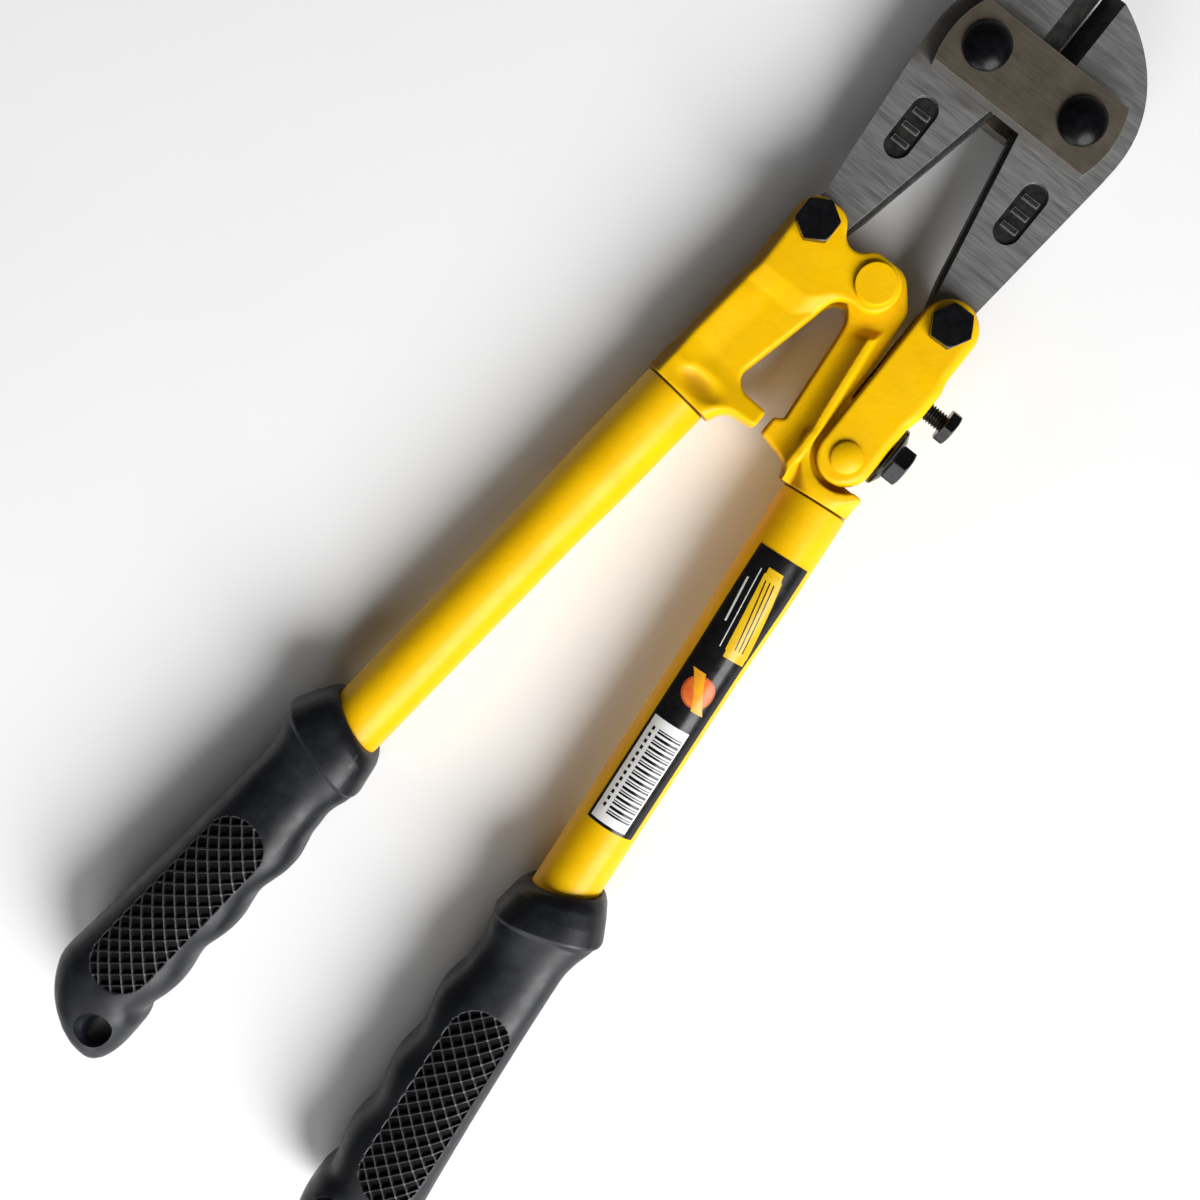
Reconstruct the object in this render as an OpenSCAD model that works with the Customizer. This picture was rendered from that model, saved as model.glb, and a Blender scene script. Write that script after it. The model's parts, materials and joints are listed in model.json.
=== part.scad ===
// Bolt cutters of the 350 mm class, lying flat on their back.
// +X is to the right, +Y runs from the grips to the jaws and +Z is up.
// The origin is on the surface under the middle of the tool.
// Shapes are drawn about the middle of the jaw strap, at the blades' middle plane,
// and place() moves them into the part's own frame.

/* [Jaws] */
// Thickness of the blades
blade_t = 8.6; // [8:0.2:8.6]
// Distance from the tool's axis to each jaw bolt
jaw_bolt_x = 14; // [13.8:0.1:14.2]
// Length of the blades in front of the jaw bolts
jaw_reach = 29.5; // [28.5:0.2:30.5]
// Width of each ground cutting bevel
bevel_w = 4.8; // [4:0.2:5.4]
// Space left between the two cutting edges
edge_gap = 0.2; // [0.2:0.05:0.4]

/* [Jaw strap] */
// Thickness of each strap plate
strap_t = 4.7; // [4.2:0.1:4.7]
// Half of the strap's size along the tool
strap_half = 9; // [8.8:0.1:9.2]
// Radius of the strap's round ends
strap_end_r = 23.1; // [22.8:0.1:23.4]

/* [Heads] */
// Distance from the tool's axis to the bolts that join blades and heads
pivot_x = 20; // [19.8:0.1:20.2]
// Distance from the jaw bolts back to those pivots
pivot_y = 54.3; // [54:0.1:54.6]
// Distance from the jaw bolts back to the centre rivet
centre_y = 57.1; // [56.9:0.1:57.3]
// Distance from the jaw bolts back to the adjusting arm's rivet
rivet_y = 93; // [92.8:0.1:93.2]
// Thickness of each fork plate
ear_t = 4.1; // [3.8:0.1:4.1]

/* [Handles] */
// Angle of each handle from the tool's axis
handle_angle = 6.1; // [5.8:0.1:6.4]
// Outer radius of the tube's wide end
tube_r = 8.9; // [8.7:0.1:9]
// Wall of the tube
tube_wall = 1.5; // [1.2:0.1:1.6]
// Outer radius of the tube's long narrow end
tube_end_r = 8.4; // [8.2:0.1:8.5]

/* [Grips] */
// Half of the grip's thickness at its collar, which is also the height of the middle plane
grip_half = 13; // [12.8:0.1:13.2]
// Radius of the hanging hole
hang_r = 3.6; // [3:0.1:3.8]
// Depth of the waves between the fingers
finger_wave = 0.8; // [0.4:0.1:1.2]

/* [Hidden] */

paint = "gold";
steel = [0.55, 0.55, 0.54];
dark = [0.1, 0.1, 0.11];
rubber = [0.16, 0.17, 0.18];

run = 0.05;              // radial clearance of a pin in its hole
lap = 0.1;               // solids that join run this far into each other
past = 60;               // cuts run this far, past whatever they cut
arc_step = 9;            // degrees between the points of a rounded corner
$fn = 72;

// Levels above the middle plane
slot_z = blade_t / 2 + 0.1;      // inside face of a fork plate
face_z = slot_z + ear_t;         // outside face of a fork plate
strap_z = blade_t / 2 + 0.05;    // inside face of a strap plate
web_z = slot_z - 0.1;            // the right head's tongue and web
flange_z = 5.6;                  // the right head's arm
ridge_z = 8.3;                   // the right head's rib and rim
rest_z = -grip_half;             // the surface that the tool lies on

// Pivots
left_pivot = [-pivot_x, -pivot_y];
right_pivot = [pivot_x, -pivot_y];
centre = [0, -centre_y];
arm_pivot = [pivot_x + 0.4, -rivet_y];
handle_root = [21.8, -105.5];   // where the right handle's tube meets its head

// Fasteners: [shank radius, width across the flats, head height]
m5 = [2.35, 8, 2.8];
m6 = [3, 9.4, 3.9];
m8 = [4, 13, grip_half - strap_z - strap_t];
screw_y = -71.6;                 // axis of the adjusting screw
lock_y = -86;                    // axis of the lock bolt

// ---------- curves ----------

function unit(v) = v / norm(v);

// The arc that rounds corner c, given as [x, y, radius], between its neighbours
function corner(before, c, after) =
    let (
        p = [c.x, c.y],
        a = unit([before.x, before.y] - p),
        b = unit([after.x, after.y] - p),
        half = acos(max(-1, min(1, a * b))) / 2,
        middle = p + unit(a + b) * c.z / sin(half),
        start = p + a * c.z / tan(half) - middle,
        end = p + b * c.z / tan(half) - middle,
        from = atan2(start.y, start.x),
        turn = atan2(start.x * end.y - start.y * end.x, start * end),
        steps = max(2, ceil(abs(turn) / arc_step))
    )
    [for (i = [0:steps]) middle + c.z * [cos(from + turn * i / steps), sin(from + turn * i / steps)]];

// A closed outline whose corners [x, y, radius] are rounded; radius 0 leaves a corner sharp
function rounded(points) = [
    for (i = [0:len(points) - 1])
        let (
            c = points[i],
            before = points[(i + len(points) - 1) % len(points)],
            after = points[(i + 1) % len(points)]
        )
        each c.z > 0 ? corner(before, c, after) : [[c.x, c.y]]
];

function bezier(a, b, c, d, steps = 16) = [
    for (i = [0:steps])
        let (t = i / steps, s = 1 - t)
        s * s * s * a + 3 * s * s * t * b + 3 * s * t * t * c + t * t * t * d
];

// ---------- small solids ----------

module slab(half) linear_extrude(2 * half, center = true) children();

module between(low, high) translate([0, 0, low]) linear_extrude(high - low) children();

module disc(at, r) translate(at) circle(r);

module block(from, to) translate(from) square(to - from);

module pin(at, r, low, high) translate([at.x, at.y, low]) cylinder(r = r, h = high - low);

module hole(at, r) pin(at, r, -past, past);

// A straight slot with round ends, along Y
module slot_shape(at, r, length) {
    for (s = [-1, 1]) disc(at + [0, s * (length / 2 - r)], r);
    translate(at) square([2 * r, length - 2 * r], center = true);
}

// A hexagonal head or nut that stands on z = 0, with its top corners turned off
module hexagon(across, height) intersection() {
    cylinder(d = across / cos(30), h = height, $fn = 6);
    cylinder(r1 = across / 2 + height * tan(60), r2 = across / 2 - lap, h = height);
}

// Moves a solid that stands on z = 0 so that it points outwards along +X
module sideways(x, y) translate([x, y, 0]) rotate([0, 90, 0]) children();

module right_handle_frame() translate([handle_root.x, handle_root.y, 0])
    rotate([0, 0, handle_angle]) children();

module left_side() mirror([1, 0, 0]) children();

// ---------- jaws ----------

tail_r = 6.2;             // the blade's eye round its pivot
waist = [27.2, -1.8];     // the blade's widest point
inner_from = [3.3, -9.4]; // the straight stretch of the blade's inner side
inner_to = [11, -45.4];
blade_outline = concat(
    bezier([edge_gap, jaw_reach], [13.4, jaw_reach - 3.2], [27.7, 15.4], waist),
    [[26.9, -7], [23.2, -47.2], [pivot_x + tail_r, -pivot_y]],
    [for (a = [-10:-10:-170]) right_pivot + tail_r * [cos(a), sin(a)]],
    [[pivot_x - tail_r, -pivot_y], inner_to, inner_from, [edge_gap, -0.4]]
);

mark = [16.5, -23.1];     // centre of the sunk size panel
mark_r = 3.4;
mark_length = 16.4;
mark_depth = 0.8;
bar = [4.4, 1.3];         // a raised bar in the panel
bar_pitch = 3.9;
bar_sink = 0.3;           // the bars stay this far under the blade's face

bevel_end = 7;            // the bevels run back to here, under the strap
edge_half = 0.2;          // half of the flat left on each cutting edge

module bevel_cut() for (s = [0, 1]) mirror([0, 0, s])
    translate([0, past, 0]) rotate([90, 0, 0]) linear_extrude(past - bevel_end)
    polygon([
        [edge_gap, edge_half], [edge_gap + bevel_w, blade_t / 2], [edge_gap + bevel_w, past],
        [-past, past], [-past, edge_half]
    ]);

// The blade's inner side slopes back towards both faces
slope_w = 1.1;
slope_h = 1.5;
slope_lead = 8;           // the slope starts this far up, under the strap

module inner_slope() for (s = [0, 1]) mirror([0, 0, s])
    translate([inner_from.x, inner_from.y, blade_t / 2])
    rotate([0, 0, atan2(inner_to.y - inner_from.y, inner_to.x - inner_from.x)])
    rotate([90, 0, 90]) translate([0, 0, -slope_lead]) linear_extrude(past)
    polygon([[-1, -slope_h], [0, -slope_h], [slope_w, 0], [slope_w, 1], [-1, 1]]);

// The size panel holds three plain raised bars
module size_panel() difference() {
    slot_shape(mark, mark_r, mark_length);
    for (i = [-1, 0, 1]) translate(mark + [0, i * bar_pitch]) square(bar, center = true);
}

module blade() color(steel) difference() {
    slab(blade_t / 2) polygon(blade_outline);
    bevel_cut();
    inner_slope();
    between(blade_t / 2 - mark_depth, blade_t) slot_shape(mark, mark_r, mark_length);
    hole([jaw_bolt_x, 0], m8[0] + run);
    hole(right_pivot, m6[0] + run);
}

module size_bars() color(steel) between(blade_t / 2 - mark_depth, blade_t / 2 - bar_sink) difference() {
    slot_shape(mark, mark_r, mark_length);
    size_panel();
}

module right_blade() {
    blade();
    size_bars();
}

module left_blade() left_side() right_blade();

strap_y = -0.3;           // middle of the strap plates
strap_end_y = -1.8;       // centre of their round ends

module strap_plate() color([0.5, 0.47, 0.43]) difference() {
    between(strap_z, strap_z + strap_t) intersection() {
        translate([0, strap_end_y]) circle(strap_end_r, $fn = 144);
        translate([0, strap_y]) square([2 * past, 2 * strap_half], center = true);
    }
    for (s = [-1, 1]) hole([s * jaw_bolt_x, 0], m8[0] + run);
}

module front_strap() strap_plate();

module rear_strap() mirror([0, 0, 1]) strap_plate();

head_r = 5.7;             // the jaw bolt's round head
head_h = 2.8;
head_edge = 0.8;          // height of the straight rim under the dome
dome_h = head_h - head_edge;
dome_r = (head_r * head_r + dome_h * dome_h) / (2 * dome_h);

module jaw_bolt(x) color(dark) {
    pin([x, 0], m8[0], rest_z, strap_z + strap_t + lap);
    translate([x, 0, strap_z + strap_t]) intersection() {
        cylinder(r = head_r, h = head_h);
        translate([0, 0, head_h - dome_r]) sphere(dome_r, $fn = 144);
    }
}

module jaw_nut(x) color(dark) difference() {
    translate([x, 0, -strap_z - strap_t]) mirror([0, 0, 1]) hexagon(m8[1], m8[2]);
    hole([x, 0], m8[0] + run);
}

module left_jaw_bolt() jaw_bolt(-jaw_bolt_x);

module right_jaw_bolt() jaw_bolt(jaw_bolt_x);

module left_jaw_nut() jaw_nut(-jaw_bolt_x);

module right_jaw_nut() jaw_nut(jaw_bolt_x);

// ---------- bolts between the blades and the heads ----------

module pivot_bolt(at, turn) color(dark) {
    pin(at, m6[0], rest_z, face_z + lap);
    translate([at.x, at.y, face_z]) rotate([0, 0, turn]) hexagon(m6[1], m6[2]);
}

module pivot_nut(at, turn) color(dark) difference() {
    translate([at.x, at.y, -face_z]) mirror([0, 0, 1]) rotate([0, 0, turn]) hexagon(m6[1], grip_half - face_z);
    hole(at, m6[0] + run);
}

module left_pivot_bolt() pivot_bolt(left_pivot, 30);

module left_pivot_nut() pivot_nut(left_pivot, 20);

module right_pivot_bolt() pivot_bolt(right_pivot, 2);

module right_pivot_nut() pivot_nut(right_pivot, 40);

// ---------- left head ----------

boss_r = 6.4;             // fork plate round the centre rivet
left_outline = rounded([
    [-27, -48.2, 6.6], [-15.2, -48.2, 5], [-9.4, -57.4, 4], [-5.2, -50.8, 4.5],
    [boss_r, -50.8, 6.3], [boss_r, -63.8, 6.3], [-5, -64, 5], [-12.8, -95.6, 4.2],
    [-1.4, -96.1, 1], [-1.4, -100.9, 1.2], [-9.9, -102, 5.5], [-13.4, -108, 0],
    [-31.2, -106.4, 0], [-26.9, -70, 60]
]);

// Half of the left head seen from the side, as [distance back from the jaw bolts, z]
waist_z = 7;              // half thickness between the fork and the socket
left_side_outline = [
    [40, face_z], [69.4, face_z], [75.5, waist_z], [93, waist_z], [99.5, tube_r], [120, tube_r]
];

module side_profile(points) for (s = [0, 1]) mirror([0, 0, s])
    translate([past, 0, 0]) rotate([90, 0, -90]) linear_extrude(2 * past)
    polygon(concat(points, [[points[len(points) - 1].x, -lap], [points[0].x, -lap]]));

// Everything on the right head's side of the seam with the tube
module beyond_seam() translate(handle_root) rotate(handle_angle) translate([-past, 0]) square(2 * past);

// The round socket and the tang that the tube is pressed on
tang_r = tube_r - tube_wall - run;
tang_length = 25;
socket_r = tube_r - 0.2;

module socket_round(length) right_handle_frame() rotate([-90, 0, 0]) {
    cylinder(r = socket_r, h = length);
    translate([0, 0, -tang_length]) cylinder(r = tang_r, h = tang_length + length);
}

// Where the blade's tail and the right head's tongue turn between the fork plates
tail_gap = 0.7;           // space behind the blade's tail
tail_end = -pivot_y - tail_r - tail_gap;
tongue_end = -70;         // the slot's end behind the tongue

module left_slot() slab(slot_z) polygon([
    [-past, tail_end], [-15, tail_end], [-6, tongue_end], [past, tongue_end], [past, -30], [-past, -30]
]);

// A scoop in the face above the seam, like a short rod with round ends
scoop_r = 3;
scoop_half = 3.5;         // from its middle to the centre of each round end
scoop_lift = 1.7;         // height of the rod's axis over the face

module scoop(at) for (s = [0, 1]) mirror([0, 0, s]) translate([at.x, at.y, tube_r + scoop_lift]) {
    rotate([0, 90, 0]) cylinder(r = scoop_r, h = 2 * scoop_half, center = true, $fn = 48);
    for (e = [-scoop_half, scoop_half]) translate([e, 0, 0]) sphere(scoop_r, $fn = 48);
}

module left_head() color(paint) difference() {
    union() {
        intersection() {
            slab(past) intersection() {
                polygon(left_outline);
                mirror([1, 0]) beyond_seam();
            }
            side_profile(left_side_outline);
        }
        left_side() socket_round(6);
    }
    left_slot();
    scoop([-17.4, -100.8]);
    hole(left_pivot, m6[0] + run);
    hole(centre, rivet_r + run);
}

// ---------- centre rivet ----------

rivet_r = 2.6;
rivet_head_h = 1.6;

module rivet(at, shank_r, foot_r, top_r, height) color(paint) for (s = [0, 1]) mirror([0, 0, s]) {
    pin(at, shank_r, -lap, face_z + lap);
    translate([at.x, at.y, face_z]) cylinder(r1 = foot_r, r2 = top_r, h = height);
}

module centre_rivet() rivet(centre, rivet_r, 6, 4.9, rivet_head_h);

module arm_rivet() rivet(arm_pivot, m6[0], 4.2, 3, 1.8);

// ---------- right head ----------

hinge_hole_r = 4.7;       // wide enough for the centre rivet to wander while the handles open
hinge_hole = centre + [1.2, -0.35];
swing_r = 10.5;           // the left head's fork plates turn over this much of the arm
rim_gap = 0.7;            // space between the adjusting arm and the rim round it
rim_w = 2.8;              // width of that rim
arm_half = 7.4;           // half width of the adjusting arm
lock_hole_x = 13;         // bottom of the lock bolt's hole

right_outline = rounded([
    [-7, -50, 6.9], [4.4, -50, 6], [10.7, -57, 6], [12.3, -72, 20], [12.6, -80.5, 0],
    [23.8, -80.5, 2], [23.8, -106, 0], [13.2, -108, 0], [10.3, -102.4, 5],
    [0.9, -100.6, 1.2], [0.9, -95.9, 1], [3.2, -94.6, 1.2],
    [0.3, -64.8, 8], [-7, -62, 5]
]);

flange_outline = rounded([
    [4, -56, 2], [10.2, -57.5, 1], [12.2, -74, 3], [12.6, -108, 0], [10.3, -102.4, 5], [0.9, -100.6, 1.2],
    [0.9, -95.9, 1], [3.2, -94.6, 1.2], [0.3, -64.8, 8]
]);

ridge_outline = rounded([
    [7.2, -62, 1.5], [10, -62, 1.5], [11.2, -82, 10], [12.2, -108, 0], [8.2, -108, 0], [9, -86, 12]
]);

module arm_clearance(gap) {
    for (p = [right_pivot, arm_pivot]) disc(p, arm_half + gap);
    block([arm_pivot.x - arm_half - gap, arm_pivot.y], [past, 0]);
}

// The rim follows the adjusting arm's round end from the ridge to the socket
module rim_shape() difference() {
    intersection() {
        union() {
            polygon(ridge_outline);
            disc(arm_pivot, arm_half + rim_gap + rim_w);
        }
        union() {
            polygon(right_outline);
            block([4, -99], [13, -39]);
            block([12, -110], [30, -99]);
        }
    }
    arm_clearance(rim_gap);
}

module right_socket_shape() polygon(rounded([
    [12.6, -96.5, 3], [27.6, -98.6, 1], [30.6, -99, 1.5], [30.6, -112, 0], [12.2, -112, 0]
]));

module right_head() color(paint) difference() {
    union() {
        intersection() {
            union() {
                slab(web_z) polygon(right_outline);
                difference() {
                    union() {
                        slab(flange_z) polygon(flange_outline);
                        slab(ridge_z) rim_shape();
                    }
                    hole(centre, swing_r);
                }
                intersection() {
                    slab(socket_r) difference() {
                        right_socket_shape();
                        arm_clearance(rim_gap);
                    }
                    right_handle_frame() rotate([90, 0, 0])
                        cylinder(r = tube_r + lap, h = 2 * past, center = true);
                }
            }
            slab(past) beyond_seam();
        }
        socket_round(3.4);
    }
    hole(hinge_hole, hinge_hole_r);
    hole(arm_pivot, m6[0] + run);
    sideways(lock_hole_x, lock_y) cylinder(r = m6[0] + run, h = past);
    difference() {
        slab(past) arm_clearance(rim_gap);
        slab(web_z) arm_clearance(2 * rim_gap);
    }
}

// ---------- adjusting arm ----------

wall_x = 24.4;            // inside face of the arm's outer wall
wall_top = -62.7;         // the wall stops here so that the blade can swing out
wall_bottom = -98;

arm_top = -47.8;
arm_bottom = arm_pivot.y - 7;
arm_outline = rounded([
    [pivot_x - 7.1, arm_top, 6.8], [pivot_x + 7.6, arm_top, 7], [27.9, -64.5, 4], [28.7, -67.5, 3],
    [28.7, -75, 3], [27.7, -79, 4], [arm_pivot.x + 7.2, arm_bottom, 7], [arm_pivot.x - 7.1, arm_bottom, 7]
]);

lock_play = 0.6;          // the lock bolt's hole is this much wider than the bolt

// The slot is open except at the outer wall
module arm_slot() slab(slot_z) difference() {
    block([0, -2 * past], [past, 0]);
    block([wall_x, wall_bottom], [past + lap, wall_top]);
}

module adjusting_arm() color(paint) difference() {
    slab(face_z) polygon(arm_outline);
    arm_slot();
    hole(right_pivot, m6[0] + run);
    hole(arm_pivot, m6[0] + run);
    sideways(0, screw_y) cylinder(r = m5[0] + run, h = past);
    sideways(0, lock_y) cylinder(r = m6[0] + lock_play, h = past);
}

screw_head_x = 34.2;
screw_tip_x = 12.8;
lock_tip_x = 13.8;
washer_x = 28.1;
washer_t = 2.1;
washer_r = 8;
washer_edge = 1;          // height of the washer's straight edge
washer_slope = 2;         // width of the slope inside that edge

module adjusting_screw() color(dark) {
    sideways(screw_tip_x, screw_y) cylinder(r = m5[0], h = screw_head_x - screw_tip_x + lap);
    sideways(screw_head_x, screw_y) rotate([0, 0, 12]) hexagon(m5[1], m5[2]);
}

module lock_washer() color(dark) sideways(washer_x, lock_y) difference() {
    union() {
        cylinder(r = washer_r, h = washer_edge);
        translate([0, 0, washer_edge])
            cylinder(r1 = washer_r, r2 = washer_r - washer_slope, h = washer_t - washer_edge);
    }
    cylinder(r = m6[0] + 4 * run, h = past, center = true);
}

module lock_bolt() color(dark) {
    sideways(lock_tip_x, lock_y) cylinder(r = m6[0], h = washer_x + washer_t - lock_tip_x + lap);
    sideways(washer_x + washer_t, lock_y) rotate([0, 0, 5]) hexagon(m6[1], m6[2]);
}

// ---------- tube ----------

// Outside of the tube, as [radius, distance from the head]
seam = 0.3;               // space between head and tube
tube_end = 212;
tube_profile = [[tube_r, seam], [tube_r, 27], [tube_end_r, 46], [tube_end_r, tube_end]];

module tube() color(paint) right_handle_frame() rotate([90, 0, 0]) rotate_extrude(convexity = 4)
    polygon(concat(
        tube_profile,
        [for (i = [len(tube_profile) - 1:-1:0]) tube_profile[i] - [tube_wall, 0]]
    ));

module right_tube() tube();

module left_tube() left_side() tube();

// The sticker lies on the tube, a little to the outer side
label_t = 0.2;
label_lift = 0.02;        // layer of glue under it
label_span = 98;          // degrees round the tube
label_turn = 6;
label_from = 15.4;
label_to = 96;

function tube_radius(s) = lookup(s, [for (p = tube_profile) [p.y, p.x]]);

label_stations = [label_from, 27, 46, label_to];

module label() color([0.05, 0.05, 0.05]) right_handle_frame() rotate([90, 0, 0])
    rotate([0, 0, 90 - label_turn - label_span / 2])
    rotate_extrude(angle = label_span, $fn = 144)
    polygon(concat(
        [for (s = label_stations) [tube_radius(s) + label_lift, s]],
        [for (i = [3:-1:0]) [tube_radius(label_stations[i]) + label_lift + label_t, label_stations[i]]]
    ));

// ---------- grip ----------

// Each ring is [distance from the head, reach outwards, reach inwards, half thickness, slant]
grip_collar = [
    [116.3, 9.2, 9.4, 9.6, 0.36], [117.3, 10.2, 10.4, 10.6, 0.36], [119, 11.5, 11.3, 11.5, 0.34],
    [123, 13.6, 12.1, 12.4, 0.3], [127.6, 15.8, 13, grip_half, 0.24], [129.4, 15.2, 13.1, 12.7, 0.2],
    [132.2, 13.5, 12.5, 12, 0.13], [136, 12.2, 11.5, 11.3, 0.06], [140.5, 11.9, 11, 11, 0]
];
grip_end = [
    [216.3, 13.6, 14.3, 12.4, 0], [219.3, 12.3, 14.6, 12.1, 0], [222.3, 10.4, 14.8, 11.6, 0],
    [225.3, 7.7, 14.8, 10.9, 0], [227.9, 4.5, 14.4, 9.8, 0], [230.1, 0.7, 13.6, 8.4, 0],
    [231.7, -3.2, 12.1, 6, 0], [232.3, -5.8, 10.5, 3.2, 0]
];

first_finger = 156.8;     // crest of the first wave
finger_pitch = 22.4;

// Between the collar and the end the outside is straight and the inside waves
function grip_ring(s) =
    let (
        t = (s - 140.5) / 72,
        crest = cos(360 * (s - first_finger) / finger_pitch) * finger_wave,
        inner = 11 + (1.8 + crest) * min(1, (s - 140.5) / 12) + 0.8 * t
    )
    [s, 11.9 + 2 * t * t, inner, 11 + 1.7 * min(1, 3 * t), 0];

grip_rings = concat(grip_collar, [for (s = [144:3.6:213]) grip_ring(s)], grip_end);
grip_sides = 28;
grip_power = 2 / 2.7;     // between an ellipse and a box

function bulge(c) = sign(c) * pow(abs(c), grip_power);

function ring_point(ring, i) =
    let (
        a = 360 * i / grip_sides,
        x = (ring[1] - ring[2]) / 2 + (ring[1] + ring[2]) / 2 * bulge(cos(a))
    )
    [x, ring[4] * x - ring[0], ring[3] * bulge(sin(a))];

grip_points = [for (ring = grip_rings) for (i = [0:grip_sides - 1]) ring_point(ring, i)];
grip_faces = concat(
    [[for (i = [0:grip_sides - 1]) i]],
    [for (r = [0:len(grip_rings) - 2]) for (i = [0:grip_sides - 1])
        let (
            a = r * grip_sides + i,
            b = r * grip_sides + (i + 1) % grip_sides
        )
        each [[a, a + grip_sides, b], [b, a + grip_sides, b + grip_sides]]],
    [[for (i = [grip_sides - 1:-1:0]) (len(grip_rings) - 1) * grip_sides + i]]
);

hang_at = [-7.4, -222.4];
hang_wall = 8.9;          // half of the wall round the hanging hole
hang_rim = 1.1;           // the wall is sunk this far round the hole
tube_play = 0.2;          // space past the end of the tube

module grip() color(rubber) right_handle_frame() difference() {
    polyhedron(grip_points, grip_faces, convexity = 6);
    rotate([90, 0, 0]) cylinder(r = tube_end_r + run, h = tube_end + tube_play);
    hole(hang_at, hang_r);
    for (s = [0, 1]) mirror([0, 0, s]) pin(hang_at, hang_r + hang_rim, hang_wall, past);
}

module right_grip() grip();

module left_grip() left_side() grip();

// ---------- the part's own frame ----------

// How far back the grip reaches
grip_reach = min([
    for (p = grip_points) handle_root.y + p.x * sin(handle_angle) + p.y * cos(handle_angle)
]);
middle_y = (jaw_reach + grip_reach) / 2;

module place() translate([0, -middle_y, grip_half]) children();

place() front_strap();
place() rear_strap();
place() left_jaw_bolt();
place() right_jaw_bolt();
place() left_jaw_nut();
place() right_jaw_nut();
place() left_blade();
place() right_blade();
place() left_head();
place() left_tube();
place() left_grip();
place() left_pivot_bolt();
place() left_pivot_nut();
place() centre_rivet();
place() adjusting_arm();
place() right_pivot_bolt();
place() right_pivot_nut();
place() adjusting_screw();
place() right_head();
place() right_tube();
place() right_grip();
place() arm_rivet();
place() lock_bolt();
place() lock_washer();
place() label();
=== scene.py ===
import json
from math import atan2, cos, pi, radians, sin, tan

import bmesh
import bpy
import numpy as np
from mathutils import Matrix, Vector

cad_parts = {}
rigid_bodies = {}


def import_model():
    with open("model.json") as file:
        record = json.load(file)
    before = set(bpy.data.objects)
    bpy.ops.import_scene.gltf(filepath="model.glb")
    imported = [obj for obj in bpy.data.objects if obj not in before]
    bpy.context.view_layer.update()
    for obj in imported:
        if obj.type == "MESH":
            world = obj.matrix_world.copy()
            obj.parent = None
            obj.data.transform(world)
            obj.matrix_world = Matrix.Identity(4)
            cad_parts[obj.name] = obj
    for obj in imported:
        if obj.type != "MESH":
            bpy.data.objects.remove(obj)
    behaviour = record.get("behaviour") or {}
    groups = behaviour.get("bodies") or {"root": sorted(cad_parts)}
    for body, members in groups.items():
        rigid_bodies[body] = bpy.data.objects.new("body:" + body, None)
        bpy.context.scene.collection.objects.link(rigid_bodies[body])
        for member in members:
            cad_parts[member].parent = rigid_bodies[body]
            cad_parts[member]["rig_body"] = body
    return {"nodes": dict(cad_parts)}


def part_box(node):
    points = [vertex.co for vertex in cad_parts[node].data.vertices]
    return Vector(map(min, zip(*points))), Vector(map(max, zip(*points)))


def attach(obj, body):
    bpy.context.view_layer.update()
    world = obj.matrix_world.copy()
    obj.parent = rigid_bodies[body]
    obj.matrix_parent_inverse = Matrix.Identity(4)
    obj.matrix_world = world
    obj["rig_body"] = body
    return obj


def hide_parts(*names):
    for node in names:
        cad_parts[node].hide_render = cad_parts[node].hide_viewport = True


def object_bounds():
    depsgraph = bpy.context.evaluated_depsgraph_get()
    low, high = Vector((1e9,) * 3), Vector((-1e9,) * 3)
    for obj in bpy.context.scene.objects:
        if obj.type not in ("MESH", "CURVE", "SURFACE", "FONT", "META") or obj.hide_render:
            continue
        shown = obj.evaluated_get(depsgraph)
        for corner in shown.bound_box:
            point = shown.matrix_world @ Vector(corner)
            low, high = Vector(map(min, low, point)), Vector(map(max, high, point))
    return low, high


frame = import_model()
cad_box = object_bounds()

# Looks of the bolt cutters. Shapes are worked out in millimetres about the middle of the two
# jaw bolts, on the blades' middle plane: X to the right, Y towards the jaws, Z up.
MM = 0.001
SIDES = ((-1, "left"), (1, "right"))


def middle(node):
    low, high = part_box(node)
    return (low + high) / 2


ORIGIN = (middle("left_jaw_bolt") + middle("right_jaw_bolt")) / 2
ORIGIN.z = middle("left_blade").z


def tool_box(node):
    """Lowest and highest corner of a CAD node, in the tool's millimetres."""
    return [np.array((corner - ORIGIN) / MM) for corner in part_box(node)]


def core(node):
    """Middle of a CAD node."""
    return np.mean(tool_box(node), axis=0)


def ends(node):
    """Lowest and highest X of a CAD node."""
    return [corner[0] for corner in tool_box(node)]


# ---------- sizes read from the frame ----------

BLADE_HALF = tool_box("left_blade")[1][2]
STRAP_TOP = tool_box("front_strap")[1][2]
FACE_Z = tool_box("adjusting_arm")[1][2]
REST_Z = tool_box("left_jaw_bolt")[0][2]
JAW_BOLT_X = core("right_jaw_bolt")[0]
PIVOT = core("right_pivot_bolt")[:2]
CENTRE = core("centre_rivet")[:2]
ARM_PIVOT = core("arm_rivet")[:2]
SCREW_Y = core("adjusting_screw")[1]
SCREW_TIP, SCREW_END = ends("adjusting_screw")
LOCK_Y = core("lock_bolt")[1]
LOCK_TIP, LOCK_END = ends("lock_bolt")
WASHER_IN, WASHER_OUT = ends("lock_washer")
WASHER_R = tool_box("lock_washer")[1][2]

# ---------- sizes that the frame's boxes don't give ----------

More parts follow.
